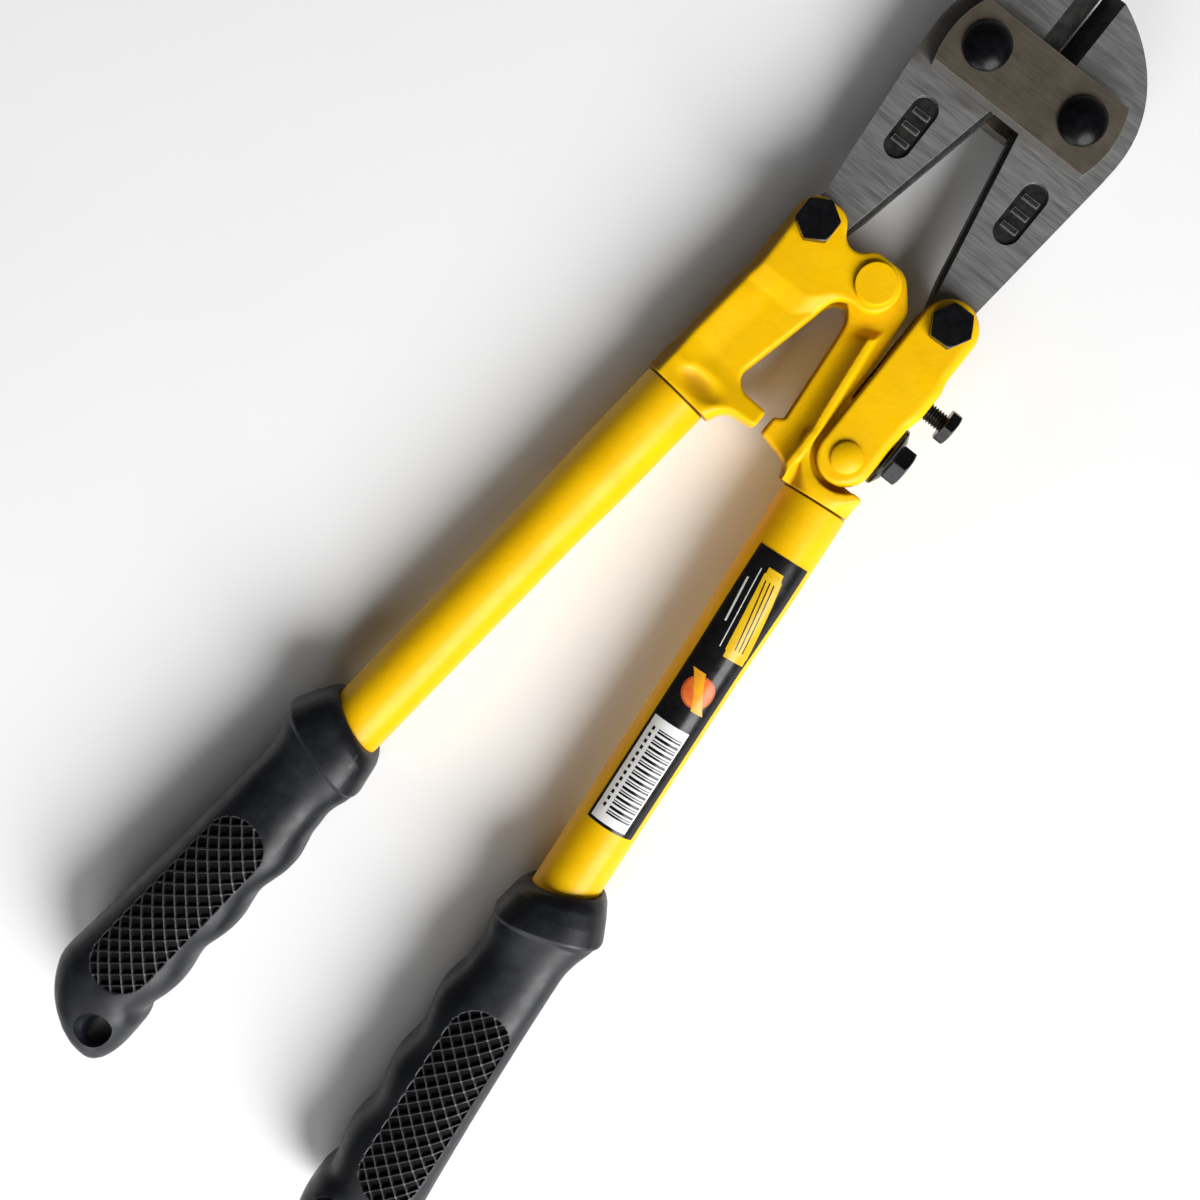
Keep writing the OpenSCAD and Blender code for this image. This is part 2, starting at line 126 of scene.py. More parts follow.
SLOT_Z = 4.4  # inside face of a fork plate
WEB_Z = 4.3  # the right head's tongue and web
RIDGE_Z = 8.3
WAIST_Z = 7  # the left head between its fork and its socket
SOCKET_R = 8.7
TUBE_R = 8.9
TUBE_END_R = 8.4
TUBE_WALL = 1.5
TUBE_END = 212
SEAM = 0.3
HANDLE_ROOT = (21.8, -105.5)
HANDLE_TURN = radians(6.1)
RUN = 0.05  # radial clearance of a pin in its hole
M5, M6, M8 = 2.35, 3.0, 4.0  # shank radii
HEX_M5, HEX_M6, HEX_M8 = 8, 9.4, 13  # widths across the flats
HEAD_M5 = 2.8  # height of the adjusting screw's head
RIVET_R = 2.6  # the centre rivet's shank
SCOOP = (-17.4, -100.8)  # middle of the dip in the left head's socket


# ---------- curves and distances ----------

def smooth(t):
    """Eases from 0 to 1."""
    t = np.clip(t, 0, 1)
    return t * t * (3 - 2 * t)


def rounded(points):
    """A closed outline whose corners (x, y, radius) are rounded."""
    outline = []
    for i, (x, y, radius) in enumerate(points):
        corner = np.array((x, y))
        before = np.array(points[i - 1][:2])
        after = np.array(points[(i + 1) % len(points)][:2])
        if radius == 0:
            outline.append(corner)
            continue
        a = (before - corner) / np.linalg.norm(before - corner)
        b = (after - corner) / np.linalg.norm(after - corner)
        half = np.arccos(np.clip(a @ b, -1, 1)) / 2
        centre = corner + (a + b) / np.linalg.norm(a + b) * radius / sin(half)
        start = corner + a * radius / tan(half) - centre
        end = corner + b * radius / tan(half) - centre
        first = atan2(start[1], start[0])
        turn = atan2(start[0] * end[1] - start[1] * end[0], start @ end)
        for t in np.linspace(0, 1, max(3, int(abs(turn) / 0.08))):
            angle = first + turn * t
            outline.append(centre + radius * np.array((cos(angle), sin(angle))))
    return np.array(outline)


def plan(outline, x, y):
    """Signed distance in the plane to a closed outline, negative inside."""
    outline = np.asarray(outline, float)
    near = np.full(np.broadcast(x, y).shape, np.inf)
    inside = np.zeros(near.shape, bool)
    for (ax, ay), (bx, by) in zip(outline, np.roll(outline, -1, axis=0)):
        ex, ey = bx - ax, by - ay
        t = np.clip(((x - ax) * ex + (y - ay) * ey) / (ex * ex + ey * ey + 1e-12), 0, 1)
        near = np.minimum(near, np.hypot(x - ax - t * ex, y - ay - t * ey))
        crosses = (ay > y) != (by > y)
        where = ax + (y - ay) * ex / (ey if abs(ey) > 1e-12 else 1e-12)
        inside ^= crosses & (x < where)
    return np.where(inside, -near, near)


def disc(at, radius, x, y):
    return np.hypot(x - at[0], y - at[1]) - radius


def slab(flat, half, z, edge):
    """A plate about the middle plane from its plan distance, with edges rounded by edge."""
    a = flat + edge
    b = np.abs(z) - half + edge
    return np.minimum(np.maximum(a, b), 0) + np.hypot(np.maximum(a, 0), np.maximum(b, 0)) - edge


def join(a, b, blend):
    """Union of two distances with a fillet."""
    t = np.clip(0.5 + 0.5 * (b - a) / blend, 0, 1)
    return b + (a - b) * t - blend * t * (1 - t)


def cut(a, b, blend):
    """Distance a less distance b, with a rounded lip."""
    return -join(-a, b, blend)


def along_handle(x, y):
    """How far outwards from the right handle's axis, and how far back from its seam."""
    dx, dy = x - HANDLE_ROOT[0], y - HANDLE_ROOT[1]
    turn_x, turn_y = cos(HANDLE_TURN), sin(HANDLE_TURN)
    return dx * turn_x + dy * turn_y, dx * turn_y - dy * turn_x


def on_handle(side, out, back, up):
    """A point of a handle from its distances outwards, back and up; side is 1 or -1."""
    x = HANDLE_ROOT[0] + out * cos(HANDLE_TURN) + back * sin(HANDLE_TURN)
    y = HANDLE_ROOT[1] + out * sin(HANDLE_TURN) - back * cos(HANDLE_TURN)
    return np.stack(np.broadcast_arrays(side * x, y, up), axis=-1)


# ---------- meshes ----------

def grid(low, high, step):
    """Open coordinate arrays over a box."""
    axes = [np.arange(a, b + step, step) for a, b in zip(low, high)]
    return np.meshgrid(*axes, indexing="ij", sparse=True)


def skin(field, low, step):
    """The zero level of a sampled distance, with one point in each cell that it crosses."""
    cells = tuple(n - 1 for n in field.shape)
    places, owners, quads = [], [], []
    for axis in range(3):
        near = np.take(field, range(cells[axis]), axis)
        far = np.take(field, range(1, cells[axis] + 1), axis)
        at = np.argwhere((near < 0) != (far < 0))
        a, b = near[tuple(at.T)], far[tuple(at.T)]
        crossing = at.astype(float)
        crossing[:, axis] += a / (a - b)
        u, v = (axis + 1) % 3, (axis + 2) % 3
        ring = []
        for du, dv in ((-1, -1), (0, -1), (0, 0), (-1, 0)):
            cell = at.copy()
            cell[:, u] += du
            cell[:, v] += dv
            ring.append(np.ravel_multi_index(cell.T, cells))
            places.append(crossing)
            owners.append(ring[-1])
        ring = np.stack(ring, axis=1)
        ring[a > 0] = ring[a > 0][:, ::-1]
        quads.append(ring)
    used, owner = np.unique(np.concatenate(owners), return_inverse=True)
    places = np.concatenate(places)
    count = np.bincount(owner)
    points = np.stack([np.bincount(owner, places[:, i]) / count for i in range(3)], axis=1)
    return points * step + np.array(low), np.searchsorted(used, np.concatenate(quads)).tolist()


def stack(rings, closed=False):
    """A skin over rings of equally many points; closed joins the last ring to the first."""
    rings = np.asarray(rings, float)
    rows, columns = rings.shape[:2]
    here = np.arange(rows * columns).reshape(rows, columns)
    beside = np.roll(here, -1, axis=1)
    quads = np.stack([here, beside, np.roll(beside, -1, axis=0), np.roll(here, -1, axis=0)], axis=-1)
    faces = quads[:rows if closed else rows - 1].reshape(-1, 4).tolist()
    if not closed:
        faces += [here[0][::-1].tolist(), here[-1].tolist()]
    return rings.reshape(-1, 3), faces


def together(*shapes):
    """Several shapes as one."""
    points, faces, offset = [], [], 0
    for shape_points, shape_faces in shapes:
        points.append(shape_points)
        faces += [[i + offset for i in face] for face in shape_faces]
        offset += len(shape_points)
    return np.concatenate(points), faces


def angles(count):
    return np.arange(count) * 2 * pi / count


def flat_ring(radius, height):
    """A ring round Z from its radius at evenly spaced angles."""
    a = angles(len(radius))
    height = np.broadcast_to(height, radius.shape)
    return np.stack([radius * np.cos(a), radius * np.sin(a), height], axis=-1)


def lathe(profile, count=96):
    """Rings round Z from (radius, height) pairs."""
    return [flat_ring(np.full(count, radius), height) for radius, height in profile]


def handle_lathe(side, profile, count):
    """Rings round a handle's axis from (radius, distance back) pairs."""
    a = angles(count)
    return [on_handle(side, r * np.cos(a), back, r * np.sin(a)) for r, back in profile]


def turned(shape, matrix):
    """A shape moved by a rotation and a place."""
    points, faces = shape
    points = np.asarray(points) @ np.array(matrix.to_3x3()).T + np.array(matrix.translation)
    return points, faces


def upright(x, y, z=0, turn=0, flip=False):
    matrix = Matrix.Translation((x, y, z)) @ Matrix.Rotation(turn, 4, "Z")
    return matrix @ Matrix.Rotation(pi, 4, "X") if flip else matrix


def sideways(x, y):
    """Turns a shape that stands on z = 0 so that it points along +X."""
    return Matrix.Translation((x, y, 0)) @ Matrix.Rotation(pi / 2, 4, "Y")


def finish_mesh(mesh, crease):
    mesh.polygons.foreach_set("use_smooth", [True] * len(mesh.polygons))
    mesh.set_sharp_from_angle(angle=radians(crease))


def make_mesh(name, shape):
    """A mesh in the part's frame from points in the tool's millimetres, its faces turned outwards."""
    points, faces = shape
    mesh = bpy.data.meshes.new(name)
    mesh.from_pydata((np.asarray(points) * MM + np.array(ORIGIN)).tolist(), [], faces)
    work = bmesh.new()
    work.from_mesh(mesh)
    bmesh.ops.recalc_face_normals(work, faces=work.faces)
    work.to_mesh(mesh)
    work.free()
    return mesh


def linked(name, data):
    """A new object in the scene."""
    made = bpy.data.objects.new(name, data)
    bpy.context.scene.collection.objects.link(made)
    return made


def placed(mesh, material, body, nodes, even=True):
    """Puts a mesh in the scene, riding on a body in place of CAD nodes."""
    mesh.materials.append(material)
    made = linked(mesh.name, mesh)
    if even:
        # large flat faces keep their own shading beside rounded edges
        change = made.modifiers.new("even_shading", "WEIGHTED_NORMAL")
        change.keep_sharp = True
        change.weight = 80
    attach(made, body)
    if nodes:
        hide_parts(*nodes)
    return made


def piece(name, shape, material, body, nodes=(), crease=32, even=True):
    """A new visible piece from points and faces."""
    mesh = make_mesh(name, shape)
    finish_mesh(mesh, crease)
    return placed(mesh, material, body, nodes, even)


def at_cut(edge):
    """Whether an edge lies on a blade's cutting edge, within 1 mm of the middle."""
    return all(abs((v.co.x - ORIGIN.x) / MM) < 1 for v in edge.verts)


def round_edges(work, width):
    """Rounds the sharp edges of a mesh by width, in millimetres."""
    sharp = [e for e in work.edges if e.is_manifold and e.calc_face_angle() > radians(25) and not at_cut(e)]
    bmesh.ops.bevel(
        work, geom=sharp, offset=width * MM, segments=3, profile=0.5, affect="EDGES", clamp_overlap=True
    )


def refined(name, node, material, width):
    """A CAD node's own shape with its edges rounded, standing for that node."""
    source = frame["nodes"][node]
    work = bmesh.new()
    work.from_mesh(source.data)
    bmesh.ops.remove_doubles(work, verts=work.verts, dist=1e-6)
    bmesh.ops.dissolve_limit(
        work, angle_limit=radians(0.3), verts=work.verts, edges=work.edges, use_dissolve_boundaries=False
    )
    round_edges(work, width)
    mesh = bpy.data.meshes.new(name)
    work.to_mesh(mesh)
    work.free()
    finish_mesh(mesh, 40)
    for face in mesh.polygons:
        face.use_smooth = abs(face.normal.z) < 0.999
    return placed(mesh, material, source["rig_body"], [node])


# ---------- materials ----------

class Look:
    """Shorthand for one procedural material."""

    def __init__(self, name, **values):
        self.material = bpy.data.materials.new(name)
        self.material.use_nodes = True
        self.tree = self.material.node_tree
        self.shader = self.tree.nodes["Principled BSDF"]
        place = self.add("TexCoord", output="Object")
        here = self.add("VectorMath", {0: place, 1: tuple(ORIGIN)}, operation="SUBTRACT")
        self.spot = self.add("VectorMath", {0: here, "Scale": 1 / MM}, operation="SCALE")
        self.facing = self.add("TexCoord", output="Normal")
        for key, value in values.items():
            self.give(key.replace("_", " "), value)

    def add(self, kind, inputs=None, output=0, **settings):
        node = self.tree.nodes.new("ShaderNode" + kind)
        for key, value in settings.items():
            setattr(node, key, value)
        for key, value in (inputs or {}).items():
            self.set(node.inputs[key], value)
        return node.outputs[output]

    def set(self, socket, value):
        if isinstance(value, bpy.types.NodeSocket):
            self.tree.links.new(value, socket)
        elif socket.type == "RGBA":
            socket.default_value = (*value, 1)
        else:
            socket.default_value = value

    def give(self, name, value):
        self.set(self.shader.inputs[name], value)

    def noise(self, size, detail=3, stretch=(1, 1, 1), turn=0):
        """Noise with features of about size millimetres."""
        at = self.add("Mapping", {
            "Vector": self.spot, "Rotation": (0, 0, -turn), "Scale": tuple(1 / (size * s) for s in stretch),
        })
        return self.add("TexNoise", {"Vector": at, "Scale": 1, "Detail": detail, "Roughness": 0.55})

    def between(self, value, low, high, start=0, end=1):
        """Maps low..high to start..end, clamped."""
        return self.add("MapRange", {
            "Value": value, "From Min": low, "From Max": high, "To Min": start, "To Max": end,
        })

    def patches(self, size, detail, low=0.3, high=0.7, start=0, end=1):
        """Noise whose levels low..high are mapped to start..end."""
        return self.between(self.noise(size, detail), low, high, start, end)

    def math(self, operation, a, b):
        return self.add("Math", {0: a, 1: b}, operation=operation)

    def sum(self, a, b):
        return self.math("ADD", a, b)

    def less(self, a, b):
        return self.math("SUBTRACT", a, b)

    def times(self, a, b):
        return self.math("MULTIPLY", a, b)

    def unsigned(self, value):
        return self.add("Math", {0: value}, operation="ABSOLUTE")

    def mix(self, share, a, b):
        return self.add("Mix", {0: share, 6: a, 7: b}, output=2, data_type="RGBA")

    def stain(self, colour, mask, strength, other):
        """Lays another colour over a colour, by at most strength where the mask is 1."""
        return self.mix(self.times(mask, strength), colour, other)

    def axis(self, vector, name):
        return self.add("SeparateXYZ", {0: vector}, output=name)

    def bump(self, height, depth):
        """Relief from a 0 to 1 height, depth in millimetres."""
        normal = self.add("Bump", {"Height": height, "Distance": depth * MM, "Strength": 1})
        self.give("Normal", normal)

    def worn(self, reach):
        """1 beside an edge, 0 elsewhere, on a mesh of large faces."""
        bent = self.add("Bevel", {"Radius": reach * MM}, samples=4)
        straight = self.add("NewGeometry", output="Normal")
        same = self.add("VectorMath", {0: bent, 1: straight}, output="Value", operation="DOT_PRODUCT")
        return self.between(same, 0.99, 0.85)

    def curved(self, low, high):
        """Maps low..high of the mesh's own convexity to 0..1; 0.5 is flat."""
        return self.between(self.add("NewGeometry", output="Pointiness"), low, high)


def dark_seam(look):
    """1 in the thin gap between a head and its tube."""
    side = look.unsigned(look.axis(look.spot, "X"))
    out = look.times(look.less(side, HANDLE_ROOT[0]), sin(HANDLE_TURN))
    down = look.times(look.less(look.axis(look.spot, "Y"), HANDLE_ROOT[1]), cos(HANDLE_TURN))
    back = look.less(look.less(out, down), SEAM / 2)
    return look.between(look.unsigned(back), 0.45, 0.2)


def scoop_shade(look):
    """Painted shade: 1 in the bottom of the left head's scoop, a little to its outer side."""
    x = look.math("DIVIDE", look.less(look.axis(look.spot, "X"), SCOOP[0] - 1.8), 5.2)
    y = look.math("DIVIDE", look.less(look.axis(look.spot, "Y"), SCOOP[1]), 2.2)
    far = look.sum(look.times(x, x), look.times(y, y))
    return look.between(far, 1.0, 0.1)


def enamel(name, grain):
    """Yellow enamel; grain is how strongly the metal's own texture shows through."""
    look = Look(name, Coat_Weight=0.05, Coat_Roughness=0.15, Specular_IOR_Level=0.16)
    tone = look.patches(14, 4, 0.35, 0.65)
    colour = look.mix(tone, (0.78, 0.43, 0.0), (0.84, 0.485, 0.0))
    # painted shade in the bottom of the scoop, where the surface is also made rougher
    dull = scoop_shade(look)
    # painted shade in hollows and creases: concave places darkened towards brown
    colour = look.stain(colour, look.curved(0.47, 0.40), 0.7, (0.42, 0.18, 0.004))
    colour = look.stain(colour, dull, 0.7, (0.34, 0.15, 0.0))
    if grain > TUBE_GRAIN:
        # painted shade on the castings' left-facing sides, which the key light doesn't reach
        left_side_shade = look.between(look.axis(look.facing, "X"), -0.35, -0.85)
        colour = look.stain(colour, left_side_shade, 0.8, (0.13, 0.052, 0.0))
        dull = look.math("MAXIMUM", dull, left_side_shade)
    colour = look.stain(colour, dark_seam(look), 0.85, (0.08, 0.03, 0.0))
    speck = look.patches(1.1, 2, 0.72, 0.78)
    look.give("Base Color", look.stain(colour, speck, 0.35, (0.55, 0.28, 0.01)))
    satin = look.patches(6, 5, start=0.32, end=0.48)
    # rougher where shade is painted, so that no highlight shows there
    look.give("Roughness", look.sum(satin, look.times(dull, 0.45)))
    peel = look.noise(1.6, 2)
    cast = look.noise(0.5, 4)
    look.bump(look.sum(peel, look.times(cast, grain)), 0.06)
    return look.material


def tint_and_strap_shade(look):
    """1 where the blades are browned: at the pivots by heat and grease, and beside the strap by heat tint
    together with painted shade that fades out towards the strap's right side.
    """
    y = look.axis(look.spot, "Y")
    level = look.sum(y, look.patches(7, 4, start=-2, end=2))
    front = look.times(look.between(level, 14, 8.5), look.between(level, -12, -8))
    tail = look.between(level, PIVOT[1] + 8, PIVOT[1] + 1)
    inner = look.between(look.axis(look.spot, "X"), 15, 4)
    return look.sum(look.times(front, look.times(inner, 0.8)), tail)


def ground_steel(name, grind):
    """Forged steel whose two faces are ground, with marks at the angle grind."""
    look = Look(name, Metallic=0.45)
    flat = look.between(look.unsigned(look.axis(look.facing, "Z")), 0.9, 0.985)
    height = look.unsigned(look.axis(look.spot, "Z"))
    ground = look.times(flat, look.between(height, BLADE_HALF - 0.25, BLADE_HALF - 0.12))
    fine = look.noise(0.35, 3, (18, 1, 1), grind)
    coarse = look.noise(1.6, 3, (14, 1, 1), grind + 0.12)
    marks = look.sum(look.times(fine, 0.6), look.times(coarse, 0.4))
    tone = look.mix(look.between(marks, 0.36, 0.64), (0.145, 0.145, 0.145), (0.26, 0.26, 0.257))
    # brown heat tint, and painted shade beside the strap
    tone = look.stain(tone, tint_and_strap_shade(look), 0.75, (0.075, 0.055, 0.035))
    # near-black on every surface that isn't ground flat: on the unground sides and recesses this is the
    # forged oxide, on the cutting bevels it is a painted dark reflection
    cloud = look.patches(2.2, 5, 0.35, 0.65)
    scale_and_painted_reflection = look.mix(cloud, (0.012, 0.012, 0.012), (0.035, 0.034, 0.032))
    scale_and_painted_reflection = look.stain(scale_and_painted_reflection, look.worn(0.4), 0.85, (0.36, 0.36, 0.355))
    look.give("Base Color", look.mix(ground, scale_and_painted_reflection, tone))
    polish = look.between(marks, 0.3, 0.7, 0.34, 0.52)
    look.give("Roughness", look.add("Mix", {0: ground, 2: 0.42, 3: polish}))
    look.bump(look.times(marks, ground), 0.02)
    return look.material


def strap_steel():
    """Brown heat-tinted plate with grey sides."""
    look = Look("strap_steel", Metallic=0.4)
    brushed = look.noise(0.5, 3, (16, 1, 1), 0.1)
    cloud = look.patches(6, 4)
    colour = look.mix(cloud, (0.075, 0.061, 0.043), (0.12, 0.10, 0.073))
    colour = look.mix(look.between(brushed, 0.3, 0.7, 0, 0.35), colour, (0.13, 0.11, 0.085))
    side = look.between(look.unsigned(look.axis(look.facing, "Z")), 0.8, 0.3)
    colour = look.mix(side, colour, (0.17, 0.165, 0.155))
    look.give("Base Color", look.stain(colour, look.worn(0.4), 0.5, (0.3, 0.28, 0.25)))
    look.give("Roughness", look.between(brushed, 0.3, 0.7, 0.4, 0.58))
    look.bump(brushed, 0.02)
    return look.material


def black_oxide(name, shine):
    """Blackened steel with rubbed edges."""
    look = Look(name, Specular_IOR_Level=shine)
    cloud = look.patches(2.5, 5)
    colour = look.mix(cloud, (0.0015, 0.0015, 0.002), (0.005, 0.005, 0.006))
    look.give("Base Color", look.stain(colour, look.worn(0.25), 0.3, (0.10, 0.10, 0.10)))
    look.give("Roughness", look.patches(1.2, 4, start=0.2, end=0.34))
    look.bump(look.noise(0.6, 4), 0.012)
    return look.material


def grip_rubber():
    """Dark rubber; the mesh's depth values tell the knurl's ridges and pits."""
    look = Look("grip_rubber", Specular_IOR_Level=0.35)
    cloud = look.patches(16, 4)
    colour = look.mix(cloud, (0.002, 0.0026, 0.0045), (0.0048, 0.0060, 0.0095))
    dust = look.patches(0.9, 5, 0.5, 0.8)
    colour = look.stain(colour, dust, 0.08, (0.08, 0.08, 0.09))
    colour = look.stain(colour, look.curved(0.53, 0.62), 0.3, (0.09, 0.09, 0.10))
    depth = look.add("Attribute", output="Fac", attribute_name="depth")
    # painted highlight on the knurl's ridge tops and painted shade in its pits
    ridge = look.times(look.between(depth, 0.02, 0.1), look.between(depth, 0.5, 0.2))
    colour = look.stain(colour, ridge, 0.8, (0.045, 0.046, 0.05))
    pit = look.between(depth, 0.3, 0.8)
    look.give("Base Color", look.mix(pit, colour, (0.0008, 0.0008, 0.001)))
    satin = look.patches(4, 4, start=0.36, end=0.5)
    look.give("Roughness", look.math("MAXIMUM", satin, pit))
    look.bump(look.sum(look.noise(0.35, 3), look.noise(2.5, 2)), 0.02)
    return look.material


def film(name, colour, other, roughness=0.25):
    """Printed plastic film with faint ink mottling."""
    look = Look(name, Coat_Weight=0.1, Coat_Roughness=0.1, Specular_IOR_Level=0.25)
    look.give("Base Color", look.mix(look.patches(3, 4), colour, other))
    look.give("Roughness", look.patches(2, 3, start=roughness - 0.05, end=roughness + 0.08))
    look.bump(look.noise(5, 2), 0.03)
    return look.material


def floor_paper():
    look = Look("floor_paper", Roughness=0.75)
    look.give("Base Color", look.mix(look.noise(60, 2), (0.82, 0.82, 0.82), (0.84, 0.84, 0.84)))
    return look.material


TUBE_GRAIN = 0.05
PAINT = enamel("tube_enamel", TUBE_GRAIN)
CAST_PAINT = enamel("forging_enamel", 0.35)
BLACK = black_oxide("black_oxide", 0.35)
DULL_BLACK = black_oxide("dull_black_oxide", 0.12)
RUBBER = grip_rubber()


# ---------- jaws ----------

def make_jaws():
    refined("left_jaw", "left_blade", ground_steel("left_blade_steel", 0.04), 0.3)
    refined("right_jaw", "right_blade", ground_steel("right_blade_steel", radians(21)), 0.3)
    steel = strap_steel()
    refined("front_strap_plate", "front_strap", steel, 0.35)
    refined("rear_strap_plate", "rear_strap", steel, 0.35)


# ---------- bolts, nuts and rivets ----------

def hex_radius(across):
    """Distance from a hexagon's middle to its side at each angle, with its corners just broken."""
    a = angles(96)
    off = np.abs((a % (pi / 3)) - pi / 6)
    return np.minimum(across / 2 / np.cos(off), across / 2 / cos(pi / 6) * 0.985)


def hex_rings(across, height, both_ends=False):
    """Rings up the outside of a hexagon that stands on z = 0, with a chamfered top."""
    side = hex_radius(across)
    flat_r = across / 2 * 0.95
    drop = (side - flat_r) * tan(radians(30))
    inner = np.full(side.shape, flat_r)
    foot = [flat_ring(side - 0.15, 0), flat_ring(side, 0.15)]
    if both_ends:
        foot = [flat_ring(inner, 0), flat_ring(side, drop)]
    return foot + [flat_ring(side, height - drop), flat_ring(inner, height)]


def shank(radius, low, high, chamfer):
    return stack(lathe([(radius - chamfer, low), (radius, low + chamfer), (radius, high)], 64))


def nut(across, hole_r, height):
    """A nut that stands on z = 0."""
    rings = hex_rings(across, height, both_ends=True)
    wide = hole_r + 0.4
    inner = lathe([(wide, height), (hole_r, height - 0.4), (hole_r, 0.4), (wide, 0)])
    return stack(rings + inner, closed=True)


def thread(radius, low, high, pitch):
    """A screw thread along Z with tapered ends."""
    rows = 8
    a = angles(40)
    depth = 0.61 * pitch
    rings = []
    for z in np.arange(low, high + 0.001, pitch / rows):
        wave = np.abs(2 * ((z / pitch - a / (2 * pi)) % 1) - 1)
        crest = np.clip((0.875 - wave) / 0.75, 0, 1)
        fade = min(1, (z - low + 0.05) / pitch, (high - z + 0.05) / pitch)
        rings.append(flat_ring(radius - depth * (1 - crest * fade), z))
    return stack(rings)


JAW_HEAD_R = 5.7
JAW_HEAD_H = 2.8
JAW_HEAD_RIM = 0.8


def dome(radius, low, rim, height):
    """Profile of a round head: a short straight rim and a domed top."""
    rise = height - rim
    ball = (radius ** 2 + rise ** 2) / (2 * rise)
    start = np.arcsin(radius / ball)
    profile = [(radius - 0.25, low), (radius, low + 0.2), (radius, low + rim - 0.1)]
    for t in np.linspace(0.96, 0.03, 10):
        angle = start * t
        profile.append((ball * sin(angle), low + height - ball + ball * cos(angle)))
    return profile


def hardware(name, shape, body, node, look=BLACK):
    piece(name, shape, look, body, [node])


def make_jaw_bolts():
    for side, name in SIDES:
        x = side * JAW_BOLT_X
        head = stack(lathe(dome(JAW_HEAD_R, STRAP_TOP, JAW_HEAD_RIM, JAW_HEAD_H)))
        rod = shank(M8, REST_Z, STRAP_TOP + 0.5, 0.7)
        bolt = turned(together(head, rod), upright(x, 0))
        hardware(name + "_jaw_bolt_round", bolt, "jaw_straps", name + "_jaw_bolt", DULL_BLACK)
        hexagon = nut(HEX_M8, M8 + RUN, -REST_Z - STRAP_TOP)
        hexagon = turned(hexagon, upright(x, 0, -STRAP_TOP, 0.2 * side, flip=True))
        hardware(name + "_jaw_nut_hex", hexagon, "jaw_straps", name + "_jaw_nut")


def make_pivot_bolts():
    top = tool_box("left_pivot_bolt")[1][2]
    for side, name, body, turn in ((-1, "left", "left_handle", 30), (1, "right", "adjusting_arm", 2)):
        x, y = side * PIVOT[0], PIVOT[1]
        head = turned(stack(hex_rings(HEX_M6, top - FACE_Z)), upright(0, 0, FACE_Z, radians(turn)))
        rod = shank(M6, REST_Z, FACE_Z + 0.5, 0.6)
        bolt = turned(together(head, rod), upright(x, y))
        hardware(name + "_pivot_bolt_hex", bolt, body, name + "_pivot_bolt")
        hexagon = nut(HEX_M6, M6 + RUN, -REST_Z - FACE_Z)
        hexagon = turned(hexagon, upright(x, y, -FACE_Z, 0.5 * side, flip=True))
        hardware(name + "_pivot_nut_hex", hexagon, body, name + "_pivot_nut")


def rivet(name, at, shank_r, head, body, node):
    """A painted rivet with the same head on both sides; head is the upper half of its profile."""
    profile = [(r, -z) for r, z in reversed(head)] + [(shank_r, -FACE_Z), (shank_r, FACE_Z)] + head
    shape = turned(stack(lathe(profile)), upright(*at))
    piece(name, shape, CAST_PAINT, body, [node])


def make_rivets():
    top = tool_box("centre_rivet")[1][2]
    flat_head = [(5.3, FACE_Z), (5.15, FACE_Z + 0.4), (5.1, top - 0.5), (4.95, top - 0.15), (4.6, top)]
    rivet("centre_rivet_disc", CENTRE, RIVET_R, flat_head, "left_handle", "centre_rivet")
    top = tool_box("arm_rivet")[1][2]
    round_head = dome(3.95, FACE_Z, 0.75, top - FACE_Z)
    rivet("arm_rivet_dome", ARM_PIVOT, M6, round_head, "right_handle", "arm_rivet")


def screw(shank_r, pitch, across, head_h, tip, end, turn, level):
    """A screw along X from its tip to its head's end, level along Y."""
    length = end - head_h - tip
    head = turned(stack(hex_rings(across, head_h)), upright(0, 0, length, radians(turn)))
    rod = thread(shank_r, 0, length + 0.2, pitch)
    return turned(together(rod, head), sideways(tip, level))


def make_adjuster():
    shape = screw(M5, 0.8, HEX_M5, HEAD_M5, SCREW_TIP, SCREW_END, 12, SCREW_Y)
    hardware("adjusting_screw_thread", shape, "adjusting_screw", "adjusting_screw")
    bore_r, thick = M6 + 0.2, WASHER_OUT - WASHER_IN
    rim = [(bore_r, 0), (WASHER_R - 0.3, 0), (WASHER_R, 0.3), (WASHER_R, 0.9), (WASHER_R - 0.35, 1.2)]
    rim += [(WASHER_R - 2.2, thick), (bore_r, thick)]
    washer = turned(stack(lathe(rim), closed=True), sideways(WASHER_IN, LOCK_Y))
    hardware("lock_washer_dish", washer, "right_handle", "lock_washer")
    shape = screw(M6, 1.0, HEX_M6, LOCK_END - WASHER_OUT, LOCK_TIP, LOCK_END, 5, LOCK_Y)
    hardware("lock_bolt_thread", shape, "right_handle", "lock_bolt")


# ---------- forged heads ----------

BOSS_R = 6.4
TAIL_R = 6.2
LEFT_OUTLINE = rounded([
    (-27, -48.2, 6.6), (-15.2, -48.2, 5), (-9.4, -57.4, 4), (-5.2, -50.8, 4.5),
    (BOSS_R, -50.8, 6.3), (BOSS_R, -63.8, 6.3), (-5, -64, 5), (-12.8, -95.6, 4.2),
    (-1.4, -96.1, 1), (-1.4, -100.9, 1.2), (-9.9, -102, 5.5), (-13.4, -112, 0),
    (-31.8, -112, 0), (-26.9, -70, 60),
])
TAIL_END = PIVOT[1] - TAIL_R - 0.7
LEFT_SLOT = [(-60, TAIL_END), (-15, TAIL_END), (-6, -70), (60, -70), (60, -30), (-60, -30)]


